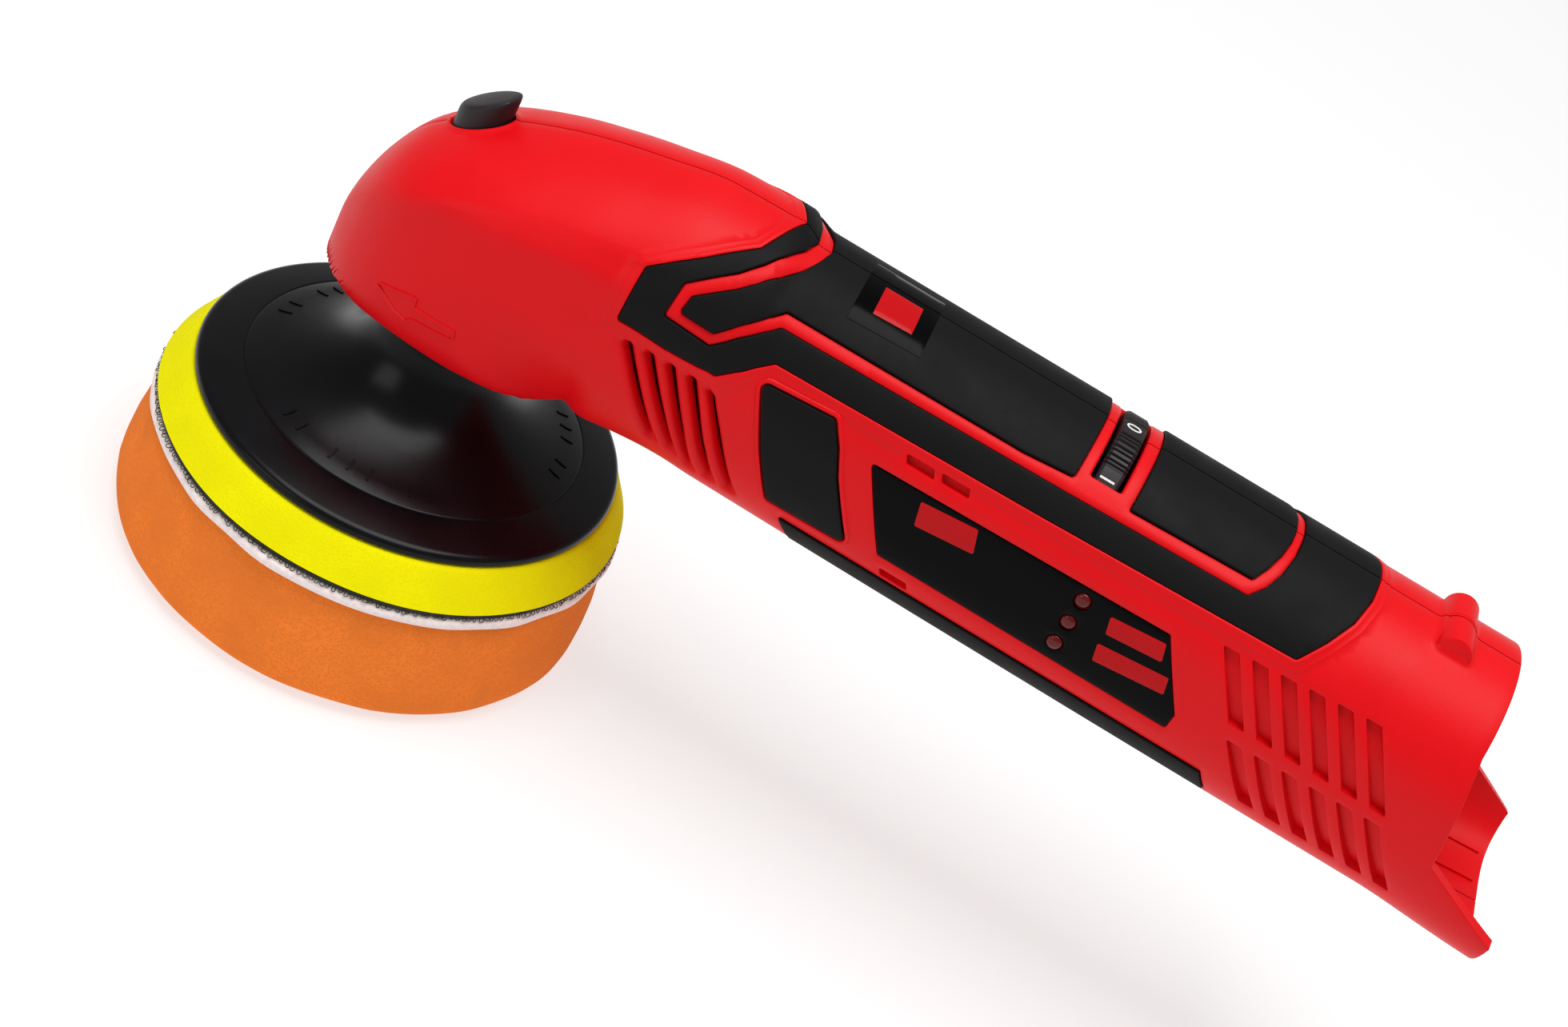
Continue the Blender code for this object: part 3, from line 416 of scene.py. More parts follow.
def new_object(name, points, faces, sharp=40):
    """Mesh object from points in mm, shaded smooth but for edges sharper than that."""
    mesh = bpy.data.meshes.new(name)
    corners = [tuple(float(c) * MM for c in p) for p in points]
    mesh.from_pydata(corners, [], [list(map(int, f)) for f in faces])
    mesh.update()
    mesh.shade_smooth()
    mesh.set_sharp_from_angle(angle=radians(sharp))
    obj = bpy.data.objects.new(name, mesh)
    bpy.context.scene.collection.objects.link(obj)
    return obj


def outer_edges(triangles):
    """Directed edges that only one triangle has."""
    seen = {}
    for triangle in triangles:
        for a, b in zip(triangle, (*triangle[1:], triangle[0])):
            seen[(a, b)] = True
    return [(a, b) for a, b in seen if (b, a) not in seen]


def skin(domain, features, low, spacing, edge, radius, high=0.0):
    """(points, faces) of a plate that follows the casing's left side within the domain outline.

    Its underside is at the height low. edge is the domain's own rings, which round its upper edge over, and
    radius rounds its corners. high lifts the whole upper side."""
    rim = Feature(in_s(straight(domain) if spacing < STRAIGHT_SPACING else domain), radius, edge, False)
    shapes = [rim, *features]
    loops, heights = [], []
    for one in shapes:
        for grow, height in one.rings:
            loop = dense(rounded(one.outline, one.radius, grow), spacing * 0.8)
            loops.append(loop)
            heights.append(height + relief(np.array(loop), shapes, skip=one))
    low_s, low_t = np.min(loops[0], axis=0)
    high_s, high_t = np.max(loops[0], axis=0)
    columns = np.arange(low_s + spacing / 2, high_s, spacing)
    rows = np.arange(low_t + spacing / 2, high_t, spacing)
    grid = np.array([(s, t) for s in columns for t in rows]).reshape(-1, 2)
    free = np.ones(len(grid), bool)
    for one in shapes:
        depth = -signed_distance(grid, rounded(one.outline, one.radius))
        margin = spacing * 0.4
        first, last = -one.rings[0][0], -one.rings[-1][0]
        free &= (depth < first - margin) | ((depth > last + margin) & (not one.hole))
    grid = grid[free]
    flat, edges = [], []
    for loop in loops:
        start = len(flat)
        flat += [Vector(p) for p in loop]
        edges += [(start + i, start + (i + 1) % len(loop)) for i in range(len(loop))]
    known = list(np.concatenate(heights)) + list(relief(grid, shapes))
    flat += [Vector(p) for p in grid]
    places, _, triangles, origin, *_ = delaunay_2d_cdt(flat, edges, [], 0, 1e-4)
    places = np.array([tuple(p) for p in places])
    computed = relief(places, shapes)
    height = np.array([known[o[0]] if o else h for o, h in zip(origin, computed)])
    triangles = np.array([t for t in triangles if len(t) == 3])
    middle = places[triangles].mean(axis=1)
    inside = signed_distance(middle, loops[0]) < 0
    for one in features:
        if one.hole:
            inside &= signed_distance(middle, rounded(one.outline, one.radius, one.rings[-1][0])) > 0
    triangles = triangles[inside]
    used = np.unique(triangles)
    renumbered = np.zeros(len(places), int)
    renumbered[used] = np.arange(len(used))
    triangles, places, height = renumbered[triangles], places[used], height[used]
    top = LOFT.place(places, height + high)
    bottom = LOFT.place(places, np.full(len(places), float(low)))
    count = len(places)
    faces = [tuple(t) for t in triangles] + [tuple(count + i for i in t[::-1]) for t in triangles]
    faces += [(a, count + a, count + b, b) for a, b in outer_edges([tuple(t) for t in triangles])]
    return np.concatenate([top, bottom]), faces


def on_side(shape, side):
    """The left side's shape with its faces outwards (side -1), or its mirror image (side 1)."""
    points, faces = shape
    if side < 0:
        return points, [f[::-1] for f in faces]
    return points * (1, -1, 1), faces


def joined(shapes):
    points, faces = [], []
    for some_points, some_faces in shapes:
        start = len(points)
        points += [tuple(p) for p in some_points]
        faces += [tuple(start + i for i in f) for f in some_faces]
    return np.array(points), faces


def turned(profile, count=96, wave=None):
    """Profile of (radius, height) turned about Z. It runs down its outer side, and is a closed loop unless
    both ends are on the axis. wave(index, angle) gives offsets to (radius, height)."""
    points, rings = [], []
    for index, (radius, height) in enumerate(profile):
        if radius == 0:
            rings.append([len(points)] * count)
            points.append((0, 0, height))
            continue
        rings.append(list(range(len(points), len(points) + count)))
        for step in range(count):
            angle = 2 * pi * step / count
            dr, dz = wave(index, angle) if wave else (0, 0)
            points.append(((radius + dr) * cos(angle), (radius + dr) * sin(angle), height + dz))
    closed = profile[0][0] > 0
    faces = []
    for k in range(len(rings) if closed else len(rings) - 1):
        one, two = rings[k], rings[(k + 1) % len(rings)]
        for i in range(count):
            j = (i + 1) % count
            loop = [one[i], one[j], two[j], two[i]]
            face = [v for n, v in enumerate(loop) if v != loop[n - 1]]
            if len(face) > 2:
                faces.append(face[::-1])
    return np.array(points, float), faces


def laid(shape, at=(0, 0, 0), along="Z"):
    """The shape with its axis Z laid along another axis, then shifted."""
    points = np.asarray(shape[0], float)
    x, y, z = points[:, 0], points[:, 1], points[:, 2]
    turned_points = {"Z": (x, y, z), "X": (z, y, -x), "Y": (x, z, -y)}[along]
    return np.stack(turned_points, 1) + at, shape[1]


def box(low, high):
    (x0, y0, z0), (x1, y1, z1) = low, high
    points = [(x, y, z) for x in (x0, x1) for y in (y0, y1) for z in (z0, z1)]
    faces = [(0, 1, 3, 2), (4, 6, 7, 5), (0, 4, 5, 1), (2, 3, 7, 6), (0, 2, 6, 4), (1, 5, 7, 3)]
    return np.array(points, float), faces


def finish_piece(obj, material, slot, body, *replaced):
    obj.data.materials.append(material)
    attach(obj, body)
    if replaced:
        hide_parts(*replaced)
    return obj


# --- Materials ---


def linear(red, green, blue):
    """Scene colour of a screen colour given from 0 to 255."""
    parts = [c / 255 for c in (red, green, blue)]
    return tuple(((c + 0.055) / 1.055) ** 2.4 if c > 10 / 255 else c / 12.92 for c in parts)


def mix(tree, factor, one, two):
    node = tree.nodes.new("ShaderNodeMix")
    node.data_type = "RGBA"
    node.inputs[6].default_value = (*one, 1)
    node.inputs[7].default_value = (*two, 1)
    tree.links.new(factor, node.inputs[0])
    return node.outputs[2]


def noise(tree, size, detail=2.0, roughness=0.5):
    """Noise whose spots are that many millimetres across."""
    place = tree.nodes.new("ShaderNodeTexCoord")
    node = tree.nodes.new("ShaderNodeTexNoise")
    node.inputs["Scale"].default_value = 1 / (size * MM)
    node.inputs["Detail"].default_value = detail
    node.inputs["Roughness"].default_value = roughness
    tree.links.new(place.outputs["Object"], node.inputs["Vector"])
    return node.outputs["Fac"]


def spread(tree, value, low, high, to_low, to_high):
    node = tree.nodes.new("ShaderNodeMapRange")
    for index, number in enumerate((low, high, to_low, to_high), 1):
        node.inputs[index].default_value = number
    tree.links.new(value, node.inputs[0])
    return node.outputs[0]


def bumped(tree, heights):
    """Normal of a surface with these (value, height in mm) layers of relief."""
    normal = None
    for value, height in heights:
        node = tree.nodes.new("ShaderNodeBump")
        node.inputs["Strength"].default_value = 1.0
        node.inputs["Distance"].default_value = height * MM
        tree.links.new(value, node.inputs["Height"])
        if normal:
            tree.links.new(normal, node.inputs["Normal"])
        normal = node.outputs["Normal"]
    return normal


def pores(tree, size):
    """1 on the walls between cells of that size, 0 in their middles."""
    place = tree.nodes.new("ShaderNodeTexCoord")
    node = tree.nodes.new("ShaderNodeTexVoronoi")
    node.inputs["Scale"].default_value = 1 / (size * MM)
    tree.links.new(place.outputs["Object"], node.inputs["Vector"])
    return spread(tree, node.outputs["Distance"], 0.15, 0.6, 0.0, 1.0)


def material(name, colour, roughness, metallic=0.0, shade=0.85, patch=6.0, grain=(), cell=None, **sockets):
    """Surface whose colour drifts down to shade over patches, with grain layers of (size, height) in mm. cell
    gives a foam's pores, whose hollow middles get a painted shade.
    """
    made = bpy.data.materials.new(name)
    made.use_nodes = True
    tree = made.node_tree
    shader = tree.nodes["Principled BSDF"]
    base = linear(*colour)
    dark = tuple(c * shade for c in base)
    drift = noise(tree, patch, 3.0)
    factor = spread(tree, drift, 0.35, 0.65, 0.0, 1.0)
    layers = [(noise(tree, size), height) for size, height in grain]
    if cell:
        size, height, pore_painted_shade = cell
        walls = pores(tree, size)
        layers.append((walls, height))
        both = tree.nodes.new("ShaderNodeMath")
        both.operation = "MULTIPLY"
        tree.links.new(factor, both.inputs[0])
        tree.links.new(walls, both.inputs[1])
        factor = both.outputs[0]
        # painted shade: the pores' middles, which the bump makes hollow, are coloured darker
        dark = tuple(c * pore_painted_shade for c in base)
    tree.links.new(mix(tree, factor, dark, base), shader.inputs["Base Color"])
    dullness = spread(tree, drift, 0.3, 0.7, roughness * 0.9, min(roughness * 1.1, 1))
    tree.links.new(dullness, shader.inputs["Roughness"])
    shader.inputs["Metallic"].default_value = metallic
    for socket, value in sockets.items():
        shader.inputs[socket.replace("_", " ")].default_value = value
    if layers:
        tree.links.new(bumped(tree, layers), shader.inputs["Normal"])
    return made


# name, colour, roughness, metallic, shade, size of its patches, grain, specular level
FINISHES = (
    ("red_plastic", (222, 8, 18), 0.42, 0.0, 0.96, 14, ((0.45, 0.02), (0.16, 0.008)), 0.15),
    ("black_rubber", (16, 15, 16), 0.6, 0.0, 0.9, 8, ((0.3, 0.03),), 0.11),
    ("gloss_label", (4, 4, 5), 0.13, 0.0, 0.85, 20, ((6.0, 0.02),), 0.06),
    ("label_red", (188, 14, 20), 0.2, 0.0, 0.95, 12, ((6.0, 0.02),), 0.1),
    ("red_lens", (96, 8, 10), 0.15, 0.0, 0.8, 1.5, ((0.8, 0.01),), 0.3),
    ("black_plastic", (9, 7, 10), 0.26, 0.0, 0.8, 10, ((1.2, 0.006),), 0.17),
    ("button_plastic", (34, 28, 31), 0.45, 0.0, 0.88, 4, ((0.25, 0.012),), 0.3),
    ("grey_plastic", (96, 98, 100), 0.45, 0.0, 0.9, 6, ((0.3, 0.01),), 0.5),
    ("circuit_board", (22, 84, 48), 0.35, 0.0, 0.75, 2.5, ((0.5, 0.02),), 0.5),
    ("cast_alloy", (168, 170, 172), 0.42, 1.0, 0.85, 3, ((0.35, 0.03),), 0.5),
    ("copper_winding", (186, 98, 56), 0.35, 1.0, 0.7, 1.2, ((0.4, 0.05),), 0.5),
    ("brass", (205, 168, 88), 0.28, 1.0, 0.85, 3, ((0.3, 0.01),), 0.5),
    ("ferrite", (58, 56, 58), 0.6, 0.0, 0.8, 2, ((0.3, 0.03),), 0.5),
    ("steel", (188, 190, 194), 0.25, 1.0, 0.88, 4, ((0.4, 0.006),), 0.5),
    ("yellow_foam", (240, 232, 6), 0.9, 0.0, 0.95, 10, ((0.7, 0.04),), 0.05),
    ("orange_foam", (250, 132, 52), 0.95, 0.0, 0.96, 9, ((1.2, 0.06),), 0.05),
    ("hook_tape", (20, 19, 20), 0.6, 0.0, 0.7, 1.0, ((0.5, 0.1),), 0.5),
    ("loop_felt", (250, 236, 234), 0.95, 0.0, 0.88, 0.9, ((0.35, 0.12),), 0.5),
)
# size in mm, height in mm and painted shade of the foams' pores: their hollow middles are coloured darker
FOAM_CELLS = {"yellow_foam": (0.5, 0.03, 0.93), "orange_foam": (0.6, 0.09, 0.88)}


def materials():
    found = {}
    for name, colour, roughness, metallic, shade, patch, grain, specular in FINISHES:
        looks = (colour, roughness, metallic, shade, patch, grain, FOAM_CELLS.get(name))
        found[name] = material(name, *looks, Specular_IOR_Level=specular)
    return found


# --- Casing ---


def bottom_line(x0, x1, count):
    return [(float(x), LOFT.bottom(float(x))) for x in np.linspace(x0, x1, count)]


def casing_domain():
    """Outline of one half's skin: top seam, rear rim and lower lip, bottom seam, and the bore in the head."""
    slant = [(208 + 4.7 * k / 8, 110 - 23 * k / 8) for k in range(9)]
    lip = [(212.7 + 18.7 * k / 5, 87 - 9.8 * k / 5) for k in range(1, 6)]
    rim = [(x, LOFT.t_at_z(x, z)) for x, z in slant + lip]
    bore_a, bore_b = COLLAR_BORE
    angles = [pi * k / 40 for k in range(1, 40)]
    bore = [(bore_a * cos(a), LOFT.t_at_y(bore_a * cos(a), bore_b * sin(a))) for a in angles]
    nose = bottom_line(-bore_a, NOSE_X + 0.02, 6)
    return [(NOSE_X, 0), (RIM_X, 0), *rim, *bottom_line(REAR_X, bore_a, 70), *bore, *nose]


def slanted_slot(x, top, bottom, width, slant=0.68):
    run = (bottom - top) * slant
    return ((x, top), (x + width, top), (x + width + run, bottom), (x + run, bottom))


def slot_outline(centre):
    x, t = centre
    return ((x - 3.2, t - 0.9), (x + 2.6, t - 0.9), (x + 3.4, t + 0.9), (x - 2.4, t + 0.9))


def pocket_rings(bead=0.0, depth=POCKET, gap=RUBBER_GAP, ledge=0.0):
    """A pocket with a crisp edge, a narrow raised bead round it, and a low ledge round the bead."""
    outside = [(gap + 0.95, ledge), (gap + 0.7, bead)] if bead else []
    if ledge:
        outside = [(gap + 2.2, 0), (gap + 2.0, ledge * 0.9), (gap + 1.8, ledge)] + outside
    return (*outside, (gap + 0.22, bead), (gap + 0.05, bead - 0.1), (gap, bead - 0.3), (gap - 0.04, -depth))


def common_features():
    groove = ((0.25, 0), (0.06, -0.08), (0, -0.25), (-0.12, -1.8))
    island = ((-RUBBER_GAP, 0), (-RUBBER_GAP - 0.04, POCKET - 0.3), (-RUBBER_GAP - 0.2, POCKET - 0.2))
    found = [
        feature(BAND_OUTER, pocket_rings(0.38, ledge=0.18), 0.7),
        feature(BAND_INNER, island, 0.7),
        feature(FRONT_PANEL, pocket_rings(), 0.6),
        feature(REAR_PANEL, pocket_rings(), 0.4),
        feature(SIDE_PAD, pocket_rings(0.3, gap=0.4), 1.0),
        feature(LABEL, pocket_rings(0.0, 0.5, 0.14), 0.4),
        feature(LOWER_STRIP, pocket_rings(), 0.4),
    ]
    found += [feature(slot_outline(centre), groove, 0.3) for centre in SLOT_CENTRES]
    for column in range(6):
        x, rise = 157.5 + column * 5.75, 0.4 * column
        found.append(feature(slanted_slot(x, 29.3 - rise, 42.6, 3.3), groove, 0.25))
        found.append(feature(slanted_slot(x + 10.6, 46.0 - rise / 2, 59.2, 3.3, 0.72), groove, 0.25))
    hole = ((1.5, 0), (1.2, -0.08), (0.8, -0.35), (0.4, -0.9), (0.1, -1.7), (0, -2.3))
    for k in range(5):
        slot = slanted_slot(35.5 + 4.5 * k, 41.6 - 0.2 * k, 59.2 - 0.2 * k, 1.1, 0.63)
        found.append(feature(slot, hole, 0.5, hole=True))
    return found


def across_seam(places, x0, x1):
    """Outline that continues past the top seam."""
    return [(x0, BEYOND), (x0, 0), *places, (x1, 0), (x1, BEYOND)]


def top_openings():
    low, high = DIAL_X[0] - 0.8, DIAL_X[1] + 0.8
    edge = LOFT.t_at_z(124.4, 115.6)
    dial_slot = [(low, BEYOND), (low, edge), (high, edge), (high, BEYOND)]
    found = [feature(dial_slot, ((0.6, 0), (0.25, -0.06), (0, -0.35)), 0.5, hole=True)]
    around = []
    for k in range(1, 16):
        angle = pi * (1 - k / 16)
        x, y = BUTTON_X + 5.5 * cos(angle), 5.0 * sin(angle)
        ys, _, run = section(x)
        upper = slice(0, len(ys) // 2)
        around.append((x, float(np.interp(y, -ys[upper], run[upper]))))
    rim = ((0.95, 0), (0.7, 0.2), (0.3, 0.26), (0.06, 0.12), (0, -0.25))
    found.append(feature(across_seam(around, BUTTON_X - 5.5, BUTTON_X + 5.5), rim, 0.5, hole=True))
    return found


def side_place(x, z):
    return (x, LOFT.t_at_z(x, z))


def peg(side):
    """Half of the rounded bar across the top, with a shallow groove at the seam."""
    profile = [
        (0, -SEAM), (3.3, -SEAM), (3.32, -0.7), (3.5, -0.85), (3.5, -7.9), (3.42, -8.2), (3.1, -8.4),
        (0, -8.5),
    ]
    points, faces = laid(turned(profile, 48), (PEG_X, 0, 119.0), "Y")
    return (points, faces) if side < 0 else (points * (1, -1, 1), [f[::-1] for f in faces])


def bay_ribs(side):
    """Low guide ribs on the floor of the battery bay."""
    found = []
    for y in (4.5, 13.5):
        t = LOFT.t_at_y(200.0, y)
        strip = ((166.0, t - 0.6), (230.0, t - 0.6), (230.0, t + 0.6), (166.0, t + 0.6))
        flat_edge = ((0.0, 0.0), (-0.1, 0.0))
        found.append(on_side(skin(strip, (), -WALL - 0.5, 2.0, flat_edge, 0.1, -WALL + 0.3), side))
    return joined(found)


def casing_half(name, side, finishes):
    shapes = common_features() + top_openings()
    arrow = [side_place(x, z) for x, z in ARROW_XZ]
    ridge = ((0.3, 0), (0.2, 0.34), (-0.1, 0.36), (-0.22, 0.02))
    shapes.append(feature(arrow, ridge, 0.2))
    foot = [(PEG_X + 3.0 * i, t) for i, t in ((-1, BEYOND), (-1, 8.2), (1, 8.2), (1, BEYOND))]
    shapes.append(feature(foot, ((1.7, 0), (1.1, 0.12), (0.6, 0.45), (0.15, 1.1)), 0.6))
    if side < 0:
        for place in LED_PLACES:
            shapes.append(feature(circle(*place, 1.9), ((0.05, 0), (0, -0.1)), 0, hole=True))
    else:
        for x, z in SCREWS_XZ:
            drilled = [(float(s_of(u)), LOFT.t_at_z(u, v)) for u, v in circle(x, z, 2.7)]
            shapes.append(Feature(drilled, 0, ((0.4, 0), (0.12, -0.08), (0, -0.35)), True))
    edge = ((0.0, -0.16), (-0.1, -0.05), (-0.28, 0.0))
    points, faces = on_side(skin(casing_domain(), shapes, -WALL, CASING_GRID, edge, 0.4), side)
    obj = new_object(f"{name}_shell", *joined([(points, faces), peg(side), bay_ribs(side)]))
    return finish_piece(obj, finishes["red_plastic"], "red_plastic", "casing", name)


def rubber_piece(node, outline, side, finish, radius):
    edge = ((0.0, -0.5), (-0.03, -0.14), (-0.14, -0.03), (-0.34, 0.0))
    shape = skin(outline, (), -POCKET + 0.1, RUBBER_GRID, edge, radius, RUBBER_HEIGHT)
    obj = new_object(f"{node}_rubber", *on_side(shape, side))
    finish_piece(obj, finish, "black_rubber", "casing", node)


def at_seam(outline):
    return [p for p in outline if p[1] >= 0]


def covers(side, finishes):
    hand = "left" if side < 0 else "right"
    band = at_seam(BAND_OUTER) + at_seam(BAND_INNER)[::-1]
    for label, outline, radius in (
        ("grip_band", band, 0.7),
        ("front_grip_panel", at_seam(FRONT_PANEL), 0.6),
        ("rear_grip_panel", at_seam(REAR_PANEL), 0.4),
        ("side_pad", SIDE_PAD, 1.0),
        ("lower_strip", LOWER_STRIP, 0.4),
    ):
        rubber_piece(f"{hand}_{label}", outline, side, finishes["black_rubber"], radius)
    windows = []
    if side < 0:
        for place in LED_PLACES:
            windows.append(feature(circle(*place, 1.8), ((0.12, 0), (0, -0.08)), 0, hole=True))
    gloss = finishes["gloss_label"]
    edge = ((0.0, -0.12), (-0.06, -0.03), (-0.2, 0.0))
    shape = skin(LABEL, windows, -0.45, LABEL_GRID, edge, 0.4)
    obj = new_object(f"{hand}_label_film", *on_side(shape, side))
    finish_piece(obj, gloss, "gloss_label", "casing", f"{hand}_label")
    fields = {
        "square": ((97.2, 35.6), (108.8, 34.6), (110.4, 39.6), (98.4, 40.8)),
        "upper_field": ((137.6, 35.8), (148.8, 34.8), (150.0, 38.6), (138.6, 39.6)),
        "lower_field": ((138.4, 42.2), (152.8, 40.8), (153.8, 44.6), (139.4, 46.2)),
    }
    for label, outline in fields.items():
        shape = skin(outline, (), -0.1, LABEL_GRID, ((0.0, 0.0), (-0.1, 0.03)), 0.4, 0.03)
        obj = new_object(f"{hand}_label_{label}", *on_side(shape, side))
        finish_piece(obj, finishes["label_red"], "gloss_label", "casing")


def sticker(side, finishes):
    """Half of the plain film stuck over the seam of the front panel, with a blank red square on it."""
    hand = "left" if side < 0 else "right"
    lower_corners = ((83.4, 12.6), (68.2, 13.2)) if side < 0 else ((82.4, 5.4), (67.5, 5.6))
    film = ((67.6, 0), (82.6, 0), *lower_corners)
    thin = ((0.0, -0.03), (-0.08, 0.0))
    on_rubber = RUBBER_HEIGHT
    shape = skin(film, (), on_rubber - 0.05, STICKER_GRID, thin, 0.15, on_rubber + 0.07)
    obj = new_object(f"{hand}_sticker", *on_side(shape, side))
    finish_piece(obj, finishes["gloss_label"], "gloss_label", "casing")
    if side < 0:
        square = ((71.4, 1.6), (79.4, 1.6), (80.0, 9.2), (71.9, 9.6))
        shape = skin(square, (), on_rubber, STICKER_GRID, thin, 0.15, on_rubber + 0.1)
        obj = new_object("sticker_square", *on_side(shape, side))
        finish_piece(obj, finishes["label_red"], "gloss_label", "casing")


def light_lenses(finishes):
    profile = [(0, 0), (0.7, -0.06), (1.2, -0.28), (1.52, -0.62), (1.6, -0.9), (1.6, -3.4), (0, -3.4)]
    for number, (x, t) in enumerate(LED_PLACES, 1):
        low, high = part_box(f"charge_light_{number}")
        centre = (low + high) / 2 / MM
        points, faces = turned(profile, 32)
        facing_out = (points * (1, 1, -1), [f[::-1] for f in faces])
        shape = laid(facing_out, (centre.x, low.y / MM, centre.z), "Y")
        obj = new_object(f"charge_lens_{number}", *shape)
        finish_piece(obj, finishes["red_lens"], "red_lens", "casing", f"charge_light_{number}")


def cross_recess(index, angle):
    """Presses a screwdriver's cross into a screw head."""
    if index < 2:
        return 0, -1.2
    if index == 2 and abs(sin(2 * angle)) < 0.32:
        return 0, -1.0
    return 0, 0


def screw_heads(finishes):
    """Pan heads with a cross recess, on shanks as long as the CAD's."""
    profile = [
        (0, 0), (0.6, 0), (1.1, -0.02), (1.7, -0.12), (2.2, -0.42), (2.4, -0.9), (2.4, -2.2), (1.15, -2.2),
        (1.15, -17.5), (0, -17.5),
    ]
    for number in range(1, len(SCREWS_XZ) + 1):
        low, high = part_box(f"case_screw_{number}")
        centre = (low + high) / 2 / MM
        lowest = LOFT.at(centre.x - 2.6, LOFT.t_at_z(centre.x, centre.z))[1]
        top = min(high.y / MM, -lowest - 0.5)
        shape = laid(turned(profile, 48, cross_recess), (centre.x, top, centre.z), "Y")
        obj = new_object(f"screw_{number}", *shape, sharp=35)
        finish_piece(obj, finishes["steel"], "steel", "casing", f"case_screw_{number}")


# --- Moving pieces outside the casing ---


def dial(finishes):
    """Speed wheel with fine ridges across its rim and numbers for its steps."""
    x0, x1 = DIAL_X
    half = (x1 - x0) / 2
    upper = [(0, half), (15.0, half), (17.0, half), (17.7, half - 0.2), (DIAL_RADIUS, half - 0.7)]
    profile = [*upper, (DIAL_RADIUS, 0), *[(radius, -height) for radius, height in upper[::-1]]]
    numbers = 7
    step = radians(270) / (numbers - 1)

    def ridges(index, angle):
        if profile[index][0] < 17.5:
            return 0, 0
        turn = (angle - pi) % (2 * pi)
        near = min(abs((turn - step * k + pi) % (2 * pi) - pi) for k in range(numbers))
        if near < radians(7.5):
            return -0.25, 0
        return (-0.55 if sin(angle * 96) < 0 else 0), 0

    centre = ((x0 + x1) / 2, 0, DIAL_Z)
    obj = new_object("speed_wheel", *laid(turned(profile, 384, ridges), centre, "X"), sharp=30)
    finish_piece(obj, finishes["button_plastic"], "black_plastic", "dial", "speed_dial")
    ink = material("dial_ink", (232, 232, 228), 0.5, shade=0.93, patch=1.5)
    for number in range(numbers):
        curve = bpy.data.curves.new(f"dial_number_{number}", "FONT")
        curve.body = str(number)
        curve.size = 4.4 * MM
        curve.extrude = 0.04 * MM
        curve.align_x, curve.align_y = "CENTER", "CENTER"
        digit = bpy.data.objects.new(f"dial_number_{number}", curve)
        bpy.context.scene.collection.objects.link(digit)
        turn = step * number
        spin = Matrix.Rotation(turn, 4, "X")
        lift = Matrix.Translation((0, 0, (DIAL_RADIUS - 0.24) * MM))
        face = Matrix.Rotation(radians(90), 4, "Z")
        digit.matrix_world = Matrix.Translation(Vector(centre) * MM) @ spin @ lift @ face
        finish_piece(digit, ink, "black_plastic", "dial")


def lock_button(finishes):
    """Slanted cap with a rounded edge, and its flange under the casing."""
    points, faces = [], []
    count = 64
    # share of the half axes along and across, height, and whether it is measured from the slanted top
    shape = (
        (1.14, 1.27, 96.4, False), (1.14, 1.27, 98.6, False), (1.0, 1.0, 98.6, False), (1.0, 1.0, -1.1, True),
        (0.985, 0.985, -0.5, True), (0.95, 0.945, -0.16, True), (0.89, 0.88, 0.0, True),
        (0.6, 0.6, 0.06, True), (0.3, 0.3, 0.1, True),
    )
    for wide, deep, height, slanted in shape:
        for k in range(count):
            angle = 2 * pi * k / count
            dx, dy = BUTTON_HALF_AXES[0] * wide * cos(angle), BUTTON_HALF_AXES[1] * deep * sin(angle)
            z = height if not slanted else BUTTON_Z + BUTTON_SLOPE * dx + height
            points.append((BUTTON_X + dx, dy, z))
    for ring in range(len(shape) - 1):
        for k in range(count):
            a, b = ring * count + k, ring * count + (k + 1) % count
            faces.append((a, b, b + count, a + count))
    faces.append(tuple(range(count))[::-1])
    faces.append(tuple(range((len(shape) - 1) * count, len(shape) * count)))
    obj = new_object("spindle_lock_cap", points, faces, sharp=50)
    finish_piece(obj, finishes["button_plastic"], "black_plastic", "button", "lock_button")


# --- Pad ---


def backing_plate(finishes):
    """Moulded plate: a trumpet-shaped hub, a groove ring, a raised ring and a thin lip."""
    profile = [
        (0, 48.4), (4.3, 48.4), (4.3, 61.4), (4.6, 61.7), (12.9, 61.7), (13.3, 61.4), (13.7, 60.2),
        (14.3, 57.6), (15.3, 55.4), (17.0, 52.6), (19.2, 50.1), (21.8, 48.0), (25.0, 46.1), (28.6, 44.5),
        (32.0, 43.3), (35.6, 42.4), (35.85, 42.25), (35.95, 42.1), (36.15, 42.1), (36.3, 42.2),
        (36.8, 42.15), (40.5, 41.3), (43.6, 40.6), (44.2, 40.4), (44.75, 39.95), (45, 39.4), (45, 38.7),
        (44.7, 38.35), (44.4, 38.3), (0, 38.3),
    ]
    slope = sorted((r, z) for r, z in profile if z < 50 and z > 41 and r > 20)
    shapes = [turned(profile, 160)]
    for group in range(3):
        for mark in range(9):
            if mark in (2, 6):
                continue
            angle = radians(-90 + 120 * group + (mark - 4) * 7.5)
            points, faces = box((30.6, -0.28, -0.5), (33.4, 0.28, 0.22))
            points[:, 2] += np.interp(points[:, 0], *zip(*slope))
            turn = np.array([[cos(angle), sin(angle), 0], [-sin(angle), cos(angle), 0], [0, 0, 1]])
            shapes.append((points @ turn, faces))
    obj = new_object("pad_plate", *joined(shapes), sharp=32)
    finish_piece(obj, finishes["black_plastic"], "black_plastic", "pad", "backing_plate")


def ragged(source, wave_height, turns):
    """Slow random rise and fall round a ring."""
    parts = [(source.uniform(-1, 1), source.uniform(0, 2 * pi), n) for n in range(2, turns)]
    return lambda angle: wave_height * sum(a * sin(n * angle + p) for a, p, n in parts) / sqrt(len(parts))


def wavy_rim(profile, rise):
    """Offsets for turned() that let a layer's rim wander in and out, and leave its middle round."""
    return lambda index, angle: (rise(angle) if profile[index][0] > 44 else 0, 0)


